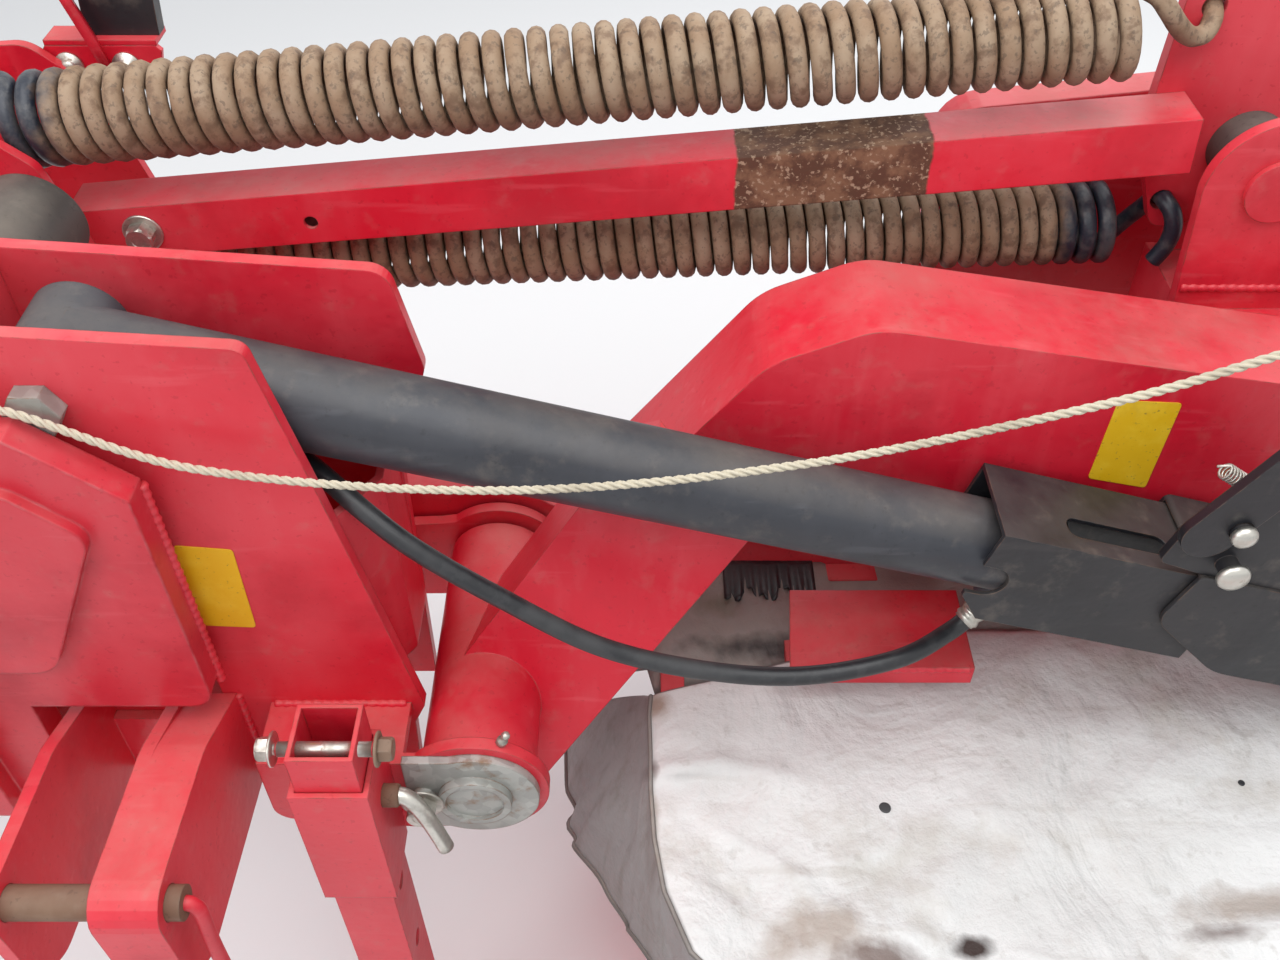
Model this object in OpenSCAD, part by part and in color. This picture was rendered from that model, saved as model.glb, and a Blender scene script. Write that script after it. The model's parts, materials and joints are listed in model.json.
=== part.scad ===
// Folded disc mower: a three-point headstock, a swinging arm and a canvas-covered cutterbar.
// +X runs along the cutterbar, -Y faces the tractor and +Z is up. Every size is in millimetres.

/* [Headstock] */
// Height of the main pivot above the ground
pivot_z = 545; // [500:5:600]
// Distance between the two lower link pins
link_span = 828; // [700:4:900]
// Distance from the main pivot to the middle of the hitch
hitch_reach = 722; // [650:2:800]
// Diameter of the lower link pins
link_pin_d = 28; // [22:1:37]
// Gap of each lower link clevis
link_gap = 72; // [60:2:90]
// Width of the folded box on the outer side of each lower link clevis
link_box = 54; // [40:2:70]
// Height of the top link pin above the lower link pins
top_link_rise = 610; // [460:10:700]
// Gap between the two fork plates, which hold the lift cylinder
fork_gap = 103; // [96:1:140]
// Thickness of the fork plates
plate_t = 12; // [8:1:16]
// Side of the square cross tube
cross_tube = 103; // [80:1:120]

/* [Stand leg] */
// Outer side of the square stand leg
leg_side = 54; // [40:1:70]
// Height of the stand leg above the ground
leg_top = 685; // [600:5:760]
// Wall of the stand leg
leg_wall = 4; // [3:0.5:6]

/* [Arm] */
// Outer diameter of the arm's hub
hub_d = 105; // [90:1:112]
// Diameter of the main pivot pin
pivot_pin_d = 50; // [40:1:60]
// Distance from the main pivot to the deck hinge
hinge_reach = 1100; // [1040:5:1160]
// Height of the deck hinge above the ground
hinge_z = 400; // [380:5:430]
// Thickness of the arm, front to back
arm_t = 100; // [80:2:104]

/* [Lift cylinder] */
// Outer diameter of the cylinder barrel
barrel_d = 77; // [60:1:80]
// Diameter of the cylinder rod
rod_d = 40; // [30:1:50]
// Length of the barrel from its base pin
barrel_l = 810; // [780:5:830]
// Wall of the lock channel and of the rod housing
channel_t = 4; // [3:0.5:5]

/* [Springs] */
// Outer diameter of the coils
coil_d = 81; // [60:1:84]
// Diameter of the spring wire
wire_d = 14; // [10:0.5:15]
// Number of turns of each spring
coil_turns = 50; // [40:1:54]
// Side of the square spring strut
strut_side = 50; // [40:1:60]

/* [Cutterbar] */
// Number of cutting discs
disc_count = 6; // [6:1:6]
// Distance between neighbouring discs
disc_spacing = 398; // [360:2:400]
// Radius that the knife tips reach
knife_reach = 240; // [200:2:246]
// Height of the cutterbar case
case_h = 45; // [36:1:50]
// Height of the skid shoes below the case
skid_h = 40; // [30:1:60]

/* [Canvas] */
// Height of the canvas top
canvas_z = 498; // [480:2:510]
// Thickness of the canvas
canvas_t = 6; // [4:1:10]
// Outer diameter of the canvas frame tubes
frame_tube_d = 24; // [20:1:30]

/* [Hidden] */
$fn = 48;

// Running clearances: turning fits, and faces that lie against soft or curved pieces
fit = 0.5;
seat = 0.3;

// Depths of the headstock plates, from the front face of the near fork plate backwards
near_y = [0, plate_t];
far_y = [plate_t + fork_gap, 2 * plate_t + fork_gap];
near_lobe_y = [-65, -65 + plate_t];
far_lobe_y = [220, 220 + plate_t];
hub_y = [near_lobe_y[1] + 3, far_lobe_y[0] - 5];
lobe_r = hub_d / 2 + 13;

// Depths of the arm, its belt case and the headstock's rear cover
cyl_y = plate_t + fork_gap / 2 - 3.5;
channel_half = barrel_d / 2 + seat + channel_t;
housing_half = channel_half + 2 + channel_t;
arm_gap = 6.2;
arm_y = [cyl_y + housing_half + arm_gap, cyl_y + housing_half + arm_gap + arm_t];
rear_cover_y = [236, 292];
belt_y = [297, 357];
belt_r = 85;
lean = atan(0.394);
lean_foot = [45, pivot_z + 45];

// Hitch
link_y = -205;
link_z = pivot_z + 67;
right_link_x = -hitch_reach + link_span / 2;
left_link_x = -hitch_reach - link_span / 2;
link_plate_t = 12;
link_pin_x = [-link_gap / 2 - link_plate_t - 20, link_gap / 2 + link_box + 12];
top_link_y = -170;
top_link_z = link_z + top_link_rise;
top_link_d = 25.9;
mast_gap = 56;
mast_t = 12;
cross_z = [pivot_z - 67, pivot_z - 67 + cross_tube];
cross_x = [-1185, -110];
upper_tube_z = [930, 1000];
pto_z = 700;
pto_tip_y = -290;
pto_d = 34.9;

// Stand leg and its sleeve, which is welded to the near pivot lobe
leg_fit = 0.8;
sleeve_wall = 5;
sleeve_side = leg_side + 2 * (leg_fit + sleeve_wall);
leg_x = -105;
leg_y = near_lobe_y[0] - sleeve_side / 2;
sleeve_z = [470, 640];

// Lift cylinder: its axis runs from the base pin to the rod eye
base_x = -277;
base_z = 945;
eye_x = hinge_reach - 100;
eye_z = hinge_z + 175;
cyl_tilt = atan2(base_z - eye_z, eye_x - base_x);
cyl_l = norm([eye_x - base_x, base_z - eye_z]);
base_pin_d = 35;
eye_pin_d = 30;
eye_r = 30;
eye_w = 30;
channel_top = 52;
channel_bottom = -50;
channel_s = [733, 960];
housing_top = channel_top + 2 + channel_t;
housing_bottom = -54;
housing_s = [905, cyl_l - 50];
port_s = 785;
port_drop = 60;
latch_bolts = [[920, 76], [899, 120]];
lever_foot = [880, 106];
lever_tilt = 76;
lever_l = 290;
lever_eye = lever_foot + lever_l * [cos(lever_tilt), sin(lever_tilt)];

// Spring strut, hinged on the ear pin
ear_x = 682;
ear_z = 967;
strut_y = 300;
strut_left = [-356, 904];
strut_right = [615, 993];
strut_tilt = atan2(strut_right[1] - strut_left[1], strut_right[0] - strut_left[0]);
lever_t = 14;
lever_y = [strut_y + strut_side / 2, strut_y + strut_side / 2 + lever_t];
ear_t = 12;
near_ear_y = [249, 249 + ear_t];
far_ear_y = [345, 345 + ear_t];
ear_pin_d = 36;
lower_spring_y = 345;
upper_hook = [614, 1091];
lower_hook = [625, 912];
upper_pin = [-440, 1000];
lower_pin = [-348, 846];
bracket_near_y = [246, 256];
bracket_far_y = [390, 400];

// Deck
case_x = [200, 2790];
case_y = [-150, 110];
case_z = [skid_h, skid_h + case_h];
disc_x0 = 500;
disc_y = -60;
disc_z = case_z[1] + 15;
beam_y = [120, 220];
beam_z = [225, 325];
end_arm_t = 14;
shoe_t = 36;
cheek_near_y = [arm_y[0] - 35, arm_y[0] - 20];
cheek_far_y = [arm_y[1] + 30, arm_y[1] + 45];
lever_near_y = [cyl_y - 35, cyl_y - 20];
tube_r = frame_tube_d / 2;
tube_z = canvas_z - tube_r - seat;
cover_x = [155, 2790];
cover_y = [-295, 250];
flare = 85;
skirt_z = 290;
notch_x = [hinge_reach - 170, hinge_reach + 140];
notch_y = 15;
guard_y = -318;
guard_front_y = -560;
guard_front_z = 430;
guard_drop_z = 95;
frame_x = [310, notch_x[0] - 15, notch_x[1] + 15, 1950, 2760];
guard_tube_d = frame_tube_d + 4;

// Cords: the places that each one passes
rope_d = 7;
rope_points = [
  [-424, 1, 964], [-412, -10, 964], [-298, -20, 960], [-169, -20, 901], [45, -20, 880],
  [261, -20, 906], [461, -20, 962], [568, -20, 1006], [668, -14, 1042], [722, -6, 1056],
  [740, 0, 1055]
];
hose_d = 17;
hose_points = [
  [-186, 88, 846], [-165, 84, 846], [-134, 64, 842], [-105, 42, 836], [-70, 18, 818],
  [-30, 2, 790], [29, -4, 742], [112, -8, 680], [201, -8, 646], [290, -4, 632], [376, 14, 632],
  [430, 48, 628], [453, 60, 644], [460, 60, 668]
];

// The origin lies at the middle of the machine's box, on the ground
x_left = left_link_x - link_pin_x[1];
x_right = cover_x[1] + flare;
y_front = guard_front_y - tube_r - seat - canvas_t;
y_rear = 540;
home = [-(x_left + x_right) / 2, -(y_front + y_rear) / 2, 0];

module at_home() translate(home) children();

// Profiles: xz outlines are extruded front to back, yz outlines sideways and xy outlines upwards
module xz(y) translate([0, y[1], 0]) rotate([90, 0, 0]) linear_extrude(y[1] - y[0]) children();
module yz(x) translate([x[0], 0, 0]) rotate([90, 0, 90]) linear_extrude(x[1] - x[0]) children();
module xy(z) translate([0, 0, z[0]]) linear_extrude(z[1] - z[0]) children();
module block(x, y, z)
  translate([x[0], y[0], z[0]]) cube([x[1] - x[0], y[1] - y[0], z[1] - z[0]]);
module bar_y(x, z, d, y)
  translate([x, y[1], z]) rotate([90, 0, 0]) cylinder(d = d, h = y[1] - y[0]);
module bar_x(y, z, d, x)
  translate([x[0], y, z]) rotate([0, 90, 0]) cylinder(d = d, h = x[1] - x[0]);
module bar_z(x, y, d, z) translate([x, y, z[0]]) cylinder(d = d, h = z[1] - z[0]);

function around(x, half) = [x - half, x + half];
function unit(v) = v / norm(v);
function turn(a) = a > 180 ? a - 360 : a < -180 ? a + 360 : a;

// Corner q of an outline, rounded to radius r by an arc that touches both of its sides
function round_corner(p, q, s, r, steps = 6) =
  r == 0 ? [q] :
  let (
    a = unit(p - q),
    b = unit(s - q),
    half = acos(a * b) / 2,
    middle = q + unit(a + b) * r / sin(half),
    from = q + a * r / tan(half) - middle,
    to = q + b * r / tan(half) - middle,
    start = atan2(from[1], from[0]),
    sweep = turn(atan2(to[1], to[0]) - start)
  )
  [for (i = [0:steps]) middle + r * [cos(start + sweep * i / steps), sin(start + sweep * i / steps)]];

// Closed outline through corners [x, y, radius]
function outline(corners) =
  let (n = len(corners), at = function (i) [corners[i % n][0], corners[i % n][1]])
  [for (i = [0:n - 1]) each round_corner(at(i + n - 1), at(i), at(i + 1), corners[i][2])];
module shape(corners) polygon(outline(corners));

// Bar of radius r with round ends, from place a to place b
module capsule(a, b, r, steps = 24) {
  tilt = atan2(b[1] - a[1], b[0] - a[0]);
  half = [for (i = [0:steps]) tilt - 90 + 180 * i / steps];
  polygon(concat(
    [for (angle = half) b + r * [cos(angle), sin(angle)]],
    [for (angle = half) a - r * [cos(angle), sin(angle)]]
  ));
}

// Tube swept along a route: one ring of points at each place, square to the route
function route_dir(route, i) =
  unit(route[min(i + 1, len(route) - 1)] - route[max(i - 1, 0)]);
module sweep(route, r, sides) {
  up = [0, 0, 1];
  points = [
    for (i = [0:len(route) - 1])
      let (d = route_dir(route, i), a = unit(cross(d, up)), b = cross(d, a))
      for (k = [0:sides - 1])
        route[i] + r * (a * cos(360 * k / sides) + b * sin(360 * k / sides))
  ];
  last = len(points) - sides;
  faces = [
    [for (k = [0:sides - 1]) k],
    for (i = [0:len(route) - 2], k = [0:sides - 1])
      let (a = i * sides + k, b = i * sides + (k + 1) % sides)
      [a, a + sides, b + sides, b],
    [for (k = [0:sides - 1]) last + sides - 1 - k]
  ];
  polyhedron(points, faces, convexity = 10);
}

// Smooth curve through a cord's points, with a number of places along each stretch
function curve_at(p, i, t) =
  let (
    a = p[max(i - 1, 0)], b = p[i], c = p[i + 1], d = p[min(i + 2, len(p) - 1)]
  )
  0.5 * (2 * b + (c - a) * t + (2 * a - 5 * b + 4 * c - d) * t * t
    + (3 * b - a - 3 * c + d) * t * t * t);
function curve(p, steps) =
  concat([for (i = [0:len(p) - 2], k = [0:steps - 1]) curve_at(p, i, k / steps)], [p[len(p) - 1]]);

// Coil spring between two places, with an open hook at each end
module coil(left, right, left_hook, right_hook) {
  sides = 6;
  steps = 7;
  r = (coil_d - wire_d) / 2;
  d = unit(right - left);
  a = [0, 1, 0];
  b = cross(d, a);
  last = coil_turns * steps;
  body = [
    for (i = [-4:last + 4])
      let (
        over = max(-i, i - last, 0),
        reach = r * (1 - over * over / 16),
        angle = 360 * i / steps
      )
      left + (right - left) * i / last + reach * (a * cos(angle) + b * sin(angle))
  ];
  sweep(concat([left_hook], body, [right_hook]), wire_d / 2, sides);
}

// Headstock: cross tube, upper tube between the fork plates and the carrier of the far pivot lobe
module headstock_frame() color("crimson") at_home() {
  block(cross_x, [near_y[1], far_y[0]], cross_z);
  block([-hitch_reach + mast_gap / 2 + mast_t, -335], [near_y[1], far_y[0]], upper_tube_z);
}

module mast() color("crimson") at_home() {
  foot_y = [near_y[1], far_y[0]];
  for (side = [-1, 1])
    difference() {
      yz(around(-hitch_reach + side * (mast_gap + mast_t) / 2, mast_t / 2))
        shape([
          [foot_y[0], cross_z[1], 0], [foot_y[1], cross_z[1], 0], [foot_y[1], 900, 60],
          [top_link_y + 60, top_link_z + 45, 30], [top_link_y - 45, top_link_z + 45, 40],
          [top_link_y - 45, top_link_z - 60, 40], [foot_y[0], 990, 60]
        ]);
      bar_x(top_link_y, top_link_z, top_link_d, [-hitch_reach - mast_gap, -hitch_reach + mast_gap]);
    }
  block(around(-hitch_reach, mast_gap / 2), [90, foot_y[1]], [cross_z[1], 860]);
}

// Lower link bracket: a plate inside, a folded box outside and a cross plate between them; side is
// 1 for the right bracket and -1 for the left one
function span(x, side, a, b) = side > 0 ? [x + a, x + b] : [x - b, x - a];
module lower_link_bracket(x, side) {
  gap = link_gap / 2;
  difference() {
    union() {
      for (wall = [[-gap - link_plate_t, -gap], [gap, gap + link_plate_t]])
        yz(span(x, side, wall[0], wall[1])) link_profile(near_y[1]);
      yz(span(x, side, gap, gap + link_box)) link_profile(near_y[0] - seat);
    }
    bar_x(link_y, link_z, link_pin_d + fit, around(x, gap + link_box + 1));
  }
  block(around(x, gap), [near_y[1] - 10, near_y[1]], [cross_z[0], cross_z[1] - 24]);
}
module link_profile(back)
  shape([
    [back, cross_z[0], 0], [back, cross_z[1] + 20, 0], [-81, link_z + 22, 60],
    [link_y - 25, link_z + 28, 28], [link_y - 23, link_z - 92, 20], [-190, cross_z[0] + 12, 40]
  ]);
module lower_link_bracket_right() color("crimson") at_home() lower_link_bracket(right_link_x, 1);
module lower_link_bracket_left() color("crimson") at_home() lower_link_bracket(left_link_x, -1);

module lower_link_pins() color("sienna") at_home() {
  bar_x(link_y, link_z, link_pin_d, span(right_link_x, 1, link_pin_x[0], link_pin_x[1]));
  bar_x(link_y, link_z, link_pin_d, span(left_link_x, -1, link_pin_x[0], link_pin_x[1]));
}

// Near fork plate with the ledge and the lobe that carry the pivot pin
module fork_plate_near() color("crimson") at_home() {
  difference() {
    xz(near_y) shape([
      [-430, 1016, 40], [-123, 994, 12], [-100, 871, 40], [-50, pivot_z + 37, 6], [-62, pivot_z + 10, 4],
      [-66, cross_z[0] - 6, 0], [-225, cross_z[0] - 6, 20], [-243, 853, 30], [-311, 927, 30],
      [-430, 927, 20]
    ]);
    bar_y(base_x, base_z, base_pin_d + fit, [near_y[0] - 1, near_y[1] + 1]);
  }
  block([-190, -62], [near_lobe_y[0], near_y[0]], [pivot_z + 31, pivot_z + 41]);
  difference() {
    union() {
      xz(near_lobe_y) shape([
        [-190, pivot_z + 41, 0], [-30, pivot_z + 41, 0], [0, pivot_z + 40, 0], [0, pivot_z - 62, 0],
        [-60, pivot_z - 66, 20], [-190, pivot_z - 50, 20]
      ]);
      bar_y(0, pivot_z, 2 * lobe_r, near_lobe_y);
    }
    bar_y(0, pivot_z, pivot_pin_d + fit, [near_lobe_y[0] - 1, near_lobe_y[1] + 1]);
  }
}

module fork_plate_far() color("crimson") at_home() {
  difference() {
    xz(far_y) shape([
      [-430, 1008, 40], [-45, 978, 20], [-27, 883, 20], [-60, 800, 30], [-66, cross_z[0], 0],
      [-300, cross_z[0], 20], [-300, 860, 40], [-430, 905, 20]
    ]);
    bar_y(base_x, base_z, base_pin_d + fit, [far_y[0] - 1, far_y[1] + 1]);
  }
  block([-250, -110], [far_y[1], far_lobe_y[0]], cross_z);
  block([-216, -186], [74, far_y[0]], [830, 862]);
  difference() {
    union() {
      xz(far_lobe_y) shape([
        [-250, cross_z[1], 0], [-60, cross_z[1] + 10, 20], [0, pivot_z + 55, 0],
        [0, pivot_z - 60, 0], [-60, pivot_z - 66, 20], [-250, cross_z[0], 0]
      ]);
      bar_y(0, pivot_z, 2 * lobe_r, far_lobe_y);
    }
    bar_y(0, pivot_z, pivot_pin_d + fit, [far_lobe_y[0] - 1, far_lobe_y[1] + 1]);
  }
}

// Folded web that closes the side of the fork
module fork_web() color("firebrick") at_home()
  xy([pivot_z + 48, 815]) polygon([
    [-104, near_y[1]], [-95, near_y[1]], [-63, 60], [-63, far_y[0]], [-70, far_y[0]], [-70, 62]
  ]);

module pivot_pin() color("dimgray") at_home() {
  bar_y(0, pivot_z, pivot_pin_d, [near_lobe_y[0], far_lobe_y[1]]);
  bar_y(0, pivot_z, 2 * lobe_r - 30, [far_lobe_y[1], rear_cover_y[0]]);
}

// Galvanised lock plate with a dished boss and one bolt
module pivot_cap() color("lightgray") at_home() {
  face = near_lobe_y[0];
  difference() {
    union() {
      xz([face - 8, face]) intersection() {
        union() {
          translate([0, pivot_z]) circle(r = 57);
          translate([-62, pivot_z - 50]) square([62, 104]);
        }
        translate([-60, pivot_z - 60]) square([120, 120]);
      }
      bar_y(0, pivot_z, 66, [face - 16, face - 8]);
    }
    bar_y(0, pivot_z, 52, [face - 17, face - 12]);
  }
  bar_y(-46, pivot_z + 4, 22, [face - 16, face - 8]);
}

// Gearbox block with its front and rear flanges
module gearbox() color("firebrick") at_home() {
  xz([-196, -60]) shape([
    [-812, 610, 30], [-632, 610, 30], [-632, 790, 40], [-812, 790, 40]
  ]);
  bar_y(-hitch_reach, pto_z, 120, [-214, -196]);
}

module pto_shaft() color("silver") at_home() {
  bar_y(-hitch_reach, pto_z, pto_d, [pto_tip_y, -214]);
  bar_y(-hitch_reach, pto_z, 60, [-222, -214]);
}

// Moulded drive casing with stepped, embossed panels
module drive_casing() color("crimson") at_home() {
  back = near_y[0] - 16;
  xz([-42, back]) shape([
    [-217, 889, 0], [-287, 948, 0], [-433, 948, 0], [-433, 490, 0], [-375, 490, 30], [-375, 640, 0],
    [-217, 640, 20]
  ]);
  xz([-60, near_y[1]]) shape([
    [-433, 948, 0], [-900, 948, 80], [-900, 600, 80], [-780, 490, 60], [-433, 490, 0]
  ]);
  xz([-52, -42]) shape([
    [-252, 860, 20], [-300, 905, 20], [-433, 905, 0], [-433, 700, 0], [-330, 700, 30]
  ]);
  xz([-72, -60]) shape([
    [-433, 905, 0], [-600, 905, 60], [-600, 560, 60], [-433, 560, 0]
  ]);
}

// Rear cover of the transfer drive, between the headstock and the main pivot
module rear_cover() color("crimson") at_home() {
  xz(rear_cover_y) shape([
    [-330, pivot_z + 80, 70], [80, pivot_z + 75, 72], [80, pivot_z - 75, 72],
    [-330, pivot_z - 70, 70]
  ]);
  block([-300, -150], [far_lobe_y[1], rear_cover_y[0]], cross_z);
}

// Bracket that holds the left ends of the springs and guides the strut
module spring_bracket() color("crimson") at_home() {
  for (y = [bracket_near_y, bracket_far_y])
    xz(y) shape([
      [-475, 1025, 20], [-400, 1030, 30], [-352, 990, 20], [-322, 880, 30], [-322, 825, 24],
      [-380, 822, 30], [-475, 900, 30]
    ]);
  bar_y(upper_pin[0], upper_pin[1], 24, [bracket_near_y[0], bracket_far_y[1]]);
  bar_y(lower_pin[0], lower_pin[1], 24, [bracket_near_y[0], bracket_far_y[1]]);
  bar_y(-436, 962, 40, [bracket_near_y[1] - 1, bracket_far_y[0] + 1]);
}

// Round bush that carries the spring bracket on the far fork plate
module bracket_bush() color("dimgray") at_home()
  bar_y(-370, 940, 90, [far_y[1], bracket_near_y[0]]);

module leg_sleeve() color("crimson") at_home() {
  inner = leg_side / 2 + leg_fit;
  outer = sleeve_side / 2;
  difference() {
    block(around(leg_x, outer), around(leg_y, outer), sleeve_z);
    block(around(leg_x, inner), around(leg_y, inner), [sleeve_z[0] - 1, sleeve_z[1] + 1]);
    bar_x(leg_y, 590, 18, [leg_x, leg_x + outer + 1]);
  }
}

// Rusty lock pin with its bent handle
module leg_lock_pin() color("sienna") at_home() {
  start = leg_x + leg_side / 2 + leg_fit;
  bar_x(leg_y, 590, 17, [start, start + 28]);
  translate([start + 28, leg_y, 590]) rotate([0, 65, 0]) cylinder(d = 14, h = 60);
  translate([start + 24, leg_y, 590]) sphere(d = 17);
}

module cylinder_base_pin() color("silver") at_home() {
  bar_y(base_x, base_z, base_pin_d, [near_y[0], far_y[1]]);
  translate([base_x, near_y[0], base_z]) rotate([90, 0, 0]) cylinder(d = 42, h = 14, $fn = 6);
  bar_y(base_x, base_z, 50, [far_y[1], far_y[1] + 8]);
}

// Square stand leg with its foot, open at the top, and the stop bolt across it
module stand_leg() color("crimson") at_home() {
  half = leg_side / 2;
  inner = half - leg_wall;
  difference() {
    block(around(leg_x, half), around(leg_y, half), [8, leg_top]);
    block(around(leg_x, inner), around(leg_y, inner), [9, leg_top + 1]);
    for (z = [200, 320, 440]) bar_x(leg_y, z, 18, [leg_x, leg_x + half + 1]);
  }
  block(around(leg_x, 70), around(leg_y, 70), [0, 8]);
  bar_x(leg_y - 8, leg_top - 12, 12, around(leg_x, half + 12));
}

// Arm: the lower part leans back from the hub, so that it passes behind the lift cylinder
module arm_box() color("crimson") at_home()
  difference() {
    union() {
      bar_y(0, pivot_z, hub_d, hub_y);
      translate([0, lean_foot[0], lean_foot[1]]) rotate([-lean, 0, 0]) xz([0, 90]) polygon([
        for (p = [[-41, 8], [-30, 34], [102, 203], [165, 250], [275, 240], [245, 161], [51, -81], [10, -50]])
          [p[0], (p[1] - 45) / cos(lean)]
      ]);
      arm_main();
      bar_y(hinge_reach, hinge_z, 116, [arm_y[0] - 15, arm_y[1] + 25]);
      block([400, 480], [arm_y[1], belt_y[0]], [540, 760]);
      block([985, 1045], [arm_y[1], belt_y[0]], [hinge_z + 45, 560]);
    }
    bar_y(0, pivot_z, pivot_pin_d + 2 * fit, [hub_y[0] - 1, hub_y[1] + 1]);
    bar_y(hinge_reach, hinge_z, pivot_pin_d + fit, [arm_y[0] - 16, arm_y[1] + 26]);
  }

// Gooseneck box of the arm, from above the hub down to the deck hinge
module arm_main()
  xz(arm_y) shape([
    [112, 706, 0], [251, 888, 70], [335, 923, 60], [672, 868, 0], [990, 820, 130],
    [hinge_reach + 54, hinge_z + 10, 0], [hinge_reach - 54, hinge_z, 0], [900, 625, 90],
    [700, 655, 0], [330, 704, 0], [175, 672, 0]
  ]);

// Two ears for the spring strut, on a shelf behind the arm
module arm_ears() color("crimson") at_home() {
  for (ear = [[near_ear_y, 0], [far_ear_y, 24]])
    difference() {
      union() {
        bar_y(ear_x, ear_z, 124, ear[0]);
        xz(ear[0]) polygon([
          [636 + ear[1], 790], [750, 790], [ear_x + 62, ear_z], [ear_x - 62 + ear[1], ear_z - 2 * ear[1]]
        ]);
      }
      bar_y(ear_x, ear_z, ear_pin_d + fit, [ear[0][0] - 1, ear[0][1] + 1]);
    }
  block([640, 744], [arm_y[1], far_ear_y[1]], [780, 845]);
}

module ear_pin() color("dimgray") at_home() {
  bar_y(ear_x, ear_z, ear_pin_d, [near_ear_y[0], far_ear_y[1]]);
  bar_y(ear_x, ear_z, 56, [near_ear_y[0] - 6, near_ear_y[0]]);
}

// Belt case behind the arm: its pulleys turn on the main pivot and the deck hinge
module belt_case() color("dimgray") at_home()
  xz(belt_y) capsule([0, pivot_z], [hinge_reach, hinge_z], belt_r);

// Smooth hood behind the strut, over the drive
module drive_hood() color("crimson") at_home() {
  hull() {
    xz([405, 440]) shape([
      [432, 520, 20], [432, 958, 40], [650, 982, 80], [930, 960, 90], [1000, 620, 90], [900, 520, 60]
    ]);
    xz([y_rear - 30, y_rear]) shape([
      [480, 560, 20], [480, 850, 60], [660, 880, 80], [880, 860, 90], [940, 640, 60], [860, 560, 40]
    ]);
  }
  block([470, 880], [belt_y[1], 410], [524, 560]);
}

// The cylinder's pieces lie along its own axis, from the base pin to the rod eye
module on_cylinder()
  translate([base_x, cyl_y, base_z]) rotate([0, cyl_tilt, 0]) children();

module cylinder_barrel() color("darkslategray") at_home() on_cylinder()
  difference() {
    union() {
      bar_x(0, 0, barrel_d, [0, barrel_l]);
      bar_y(0, 0, 76, [-36, 36]);
      bar_z(port_s, 0, 28, [-port_drop, -30]);
    }
    bar_y(0, 0, base_pin_d + fit, around(0, barrel_d / 2 + 1));
    bar_x(0, 0, rod_d + 2 * fit, [52, barrel_l + 1]);
  }

// Formed channel on the barrel's end: open below, slotted above, notched on its near side
module lock_channel() color("black") at_home() on_cylinder()
  difference() {
    block(channel_s, around(0, channel_half), [channel_bottom, channel_top]);
    block([channel_s[0] - 1, channel_s[1] + 1], around(0, channel_half - channel_t),
      [channel_bottom - 1, channel_top - channel_t]);
    xy([channel_top - channel_t - 1, channel_top + 1]) shape([
      [796, -26, 10], [892, -26, 10], [892, -4, 10], [796, -4, 10]
    ]);
    xz([-channel_half - 1, 0]) shape([
      [channel_s[0] - 1, -20, 0], [channel_s[0] + 30, -20, 17], [channel_s[0] + 30, 14, 17],
      [channel_s[0] - 1, 14, 0]
    ]);
    xz([-channel_half - 1, channel_half + 1]) polygon([
      [channel_s[0] - 1, channel_bottom - 1], [channel_s[0] + 26, channel_bottom - 1],
      [channel_s[0] - 1, -24]
    ]);
  }

module cylinder_rod() color("silver") at_home() on_cylinder()
  difference() {
    union() {
      bar_x(0, 0, rod_d, [330, cyl_l]);
      bar_y(cyl_l, 0, 2 * eye_r, around(0, eye_w / 2));
    }
    bar_y(cyl_l, 0, eye_pin_d + fit, around(0, eye_w));
  }

// Middle of the eye's pin, which goes with the rod because the linkage is opened here
module rod_eye_pin() color("dimgray") at_home() on_cylinder()
  bar_y(cyl_l, 0, eye_pin_d, around(0, eye_w / 2 + 3));

// Housing on the rod, which slides over the lock channel
module rod_housing() color("black") at_home() on_cylinder() {
  inner = housing_half - channel_t;
  difference() {
    xz([-housing_half, housing_half]) shape([
      [housing_s[0] + 4, housing_top, 6], [housing_s[1], housing_top, 4],
      [housing_s[1], housing_bottom, 0], [housing_s[0] + 90, housing_bottom, 60],
      [housing_s[0], -4, 24]
    ]);
    block([housing_s[0] - 1, housing_s[1] - 8], around(0, inner),
      [housing_bottom - 1, housing_top - channel_t]);
    bar_x(0, 0, rod_d + fit, [housing_s[1] - 9, housing_s[1] + 1]);
  }
}

// Hook plate of the transport lock, standing on the housing, with its two pivot bolts
module latch_hook() color("dimgray") at_home() on_cylinder() {
  y = [-housing_half + 3, -housing_half + 11];
  xz(y) shape([
    [866, housing_top + 4, 6], [905, housing_top, 0], [1004, housing_top, 6], [1000, 96, 10],
    [935, 142, 16], [885, 146, 16], [866, 100, 20]
  ]);
  for (bolt = latch_bolts) bar_y(bolt[0], bolt[1], 18, [y[0] - 14, y[0]]);
}

// Release lever, which the rope pulls
module latch_lever() color("black") at_home() on_cylinder() {
  y = [-housing_half - 7, -housing_half + 2];
  difference() {
    xz(y) capsule(lever_foot, lever_eye, 22);
    for (bolt = latch_bolts) bar_y(bolt[0], bolt[1], 18 + 2 * fit, [y[0] - 1, y[1] + 1]);
    bar_y(lever_eye[0], lever_eye[1], 14, [y[0] - 1, y[1] + 1]);
  }
}

// Square strut tube with its stop bolt, open at the left
module strut_tube() color("crimson") at_home()
  translate([strut_left[0], strut_y, strut_left[1]]) rotate([0, -strut_tilt, 0]) {
    half = strut_side / 2;
    length = norm(strut_right - strut_left);
    difference() {
      block([0, length], around(0, half), around(0, half));
      block([-1, length - 6], around(0, half - 4), around(0, half - 4));
      bar_y(213, -4, 12, around(0, half + 1));
    }
    bar_y(62, 0, 22, [-half - 10, -half]);
  }

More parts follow.
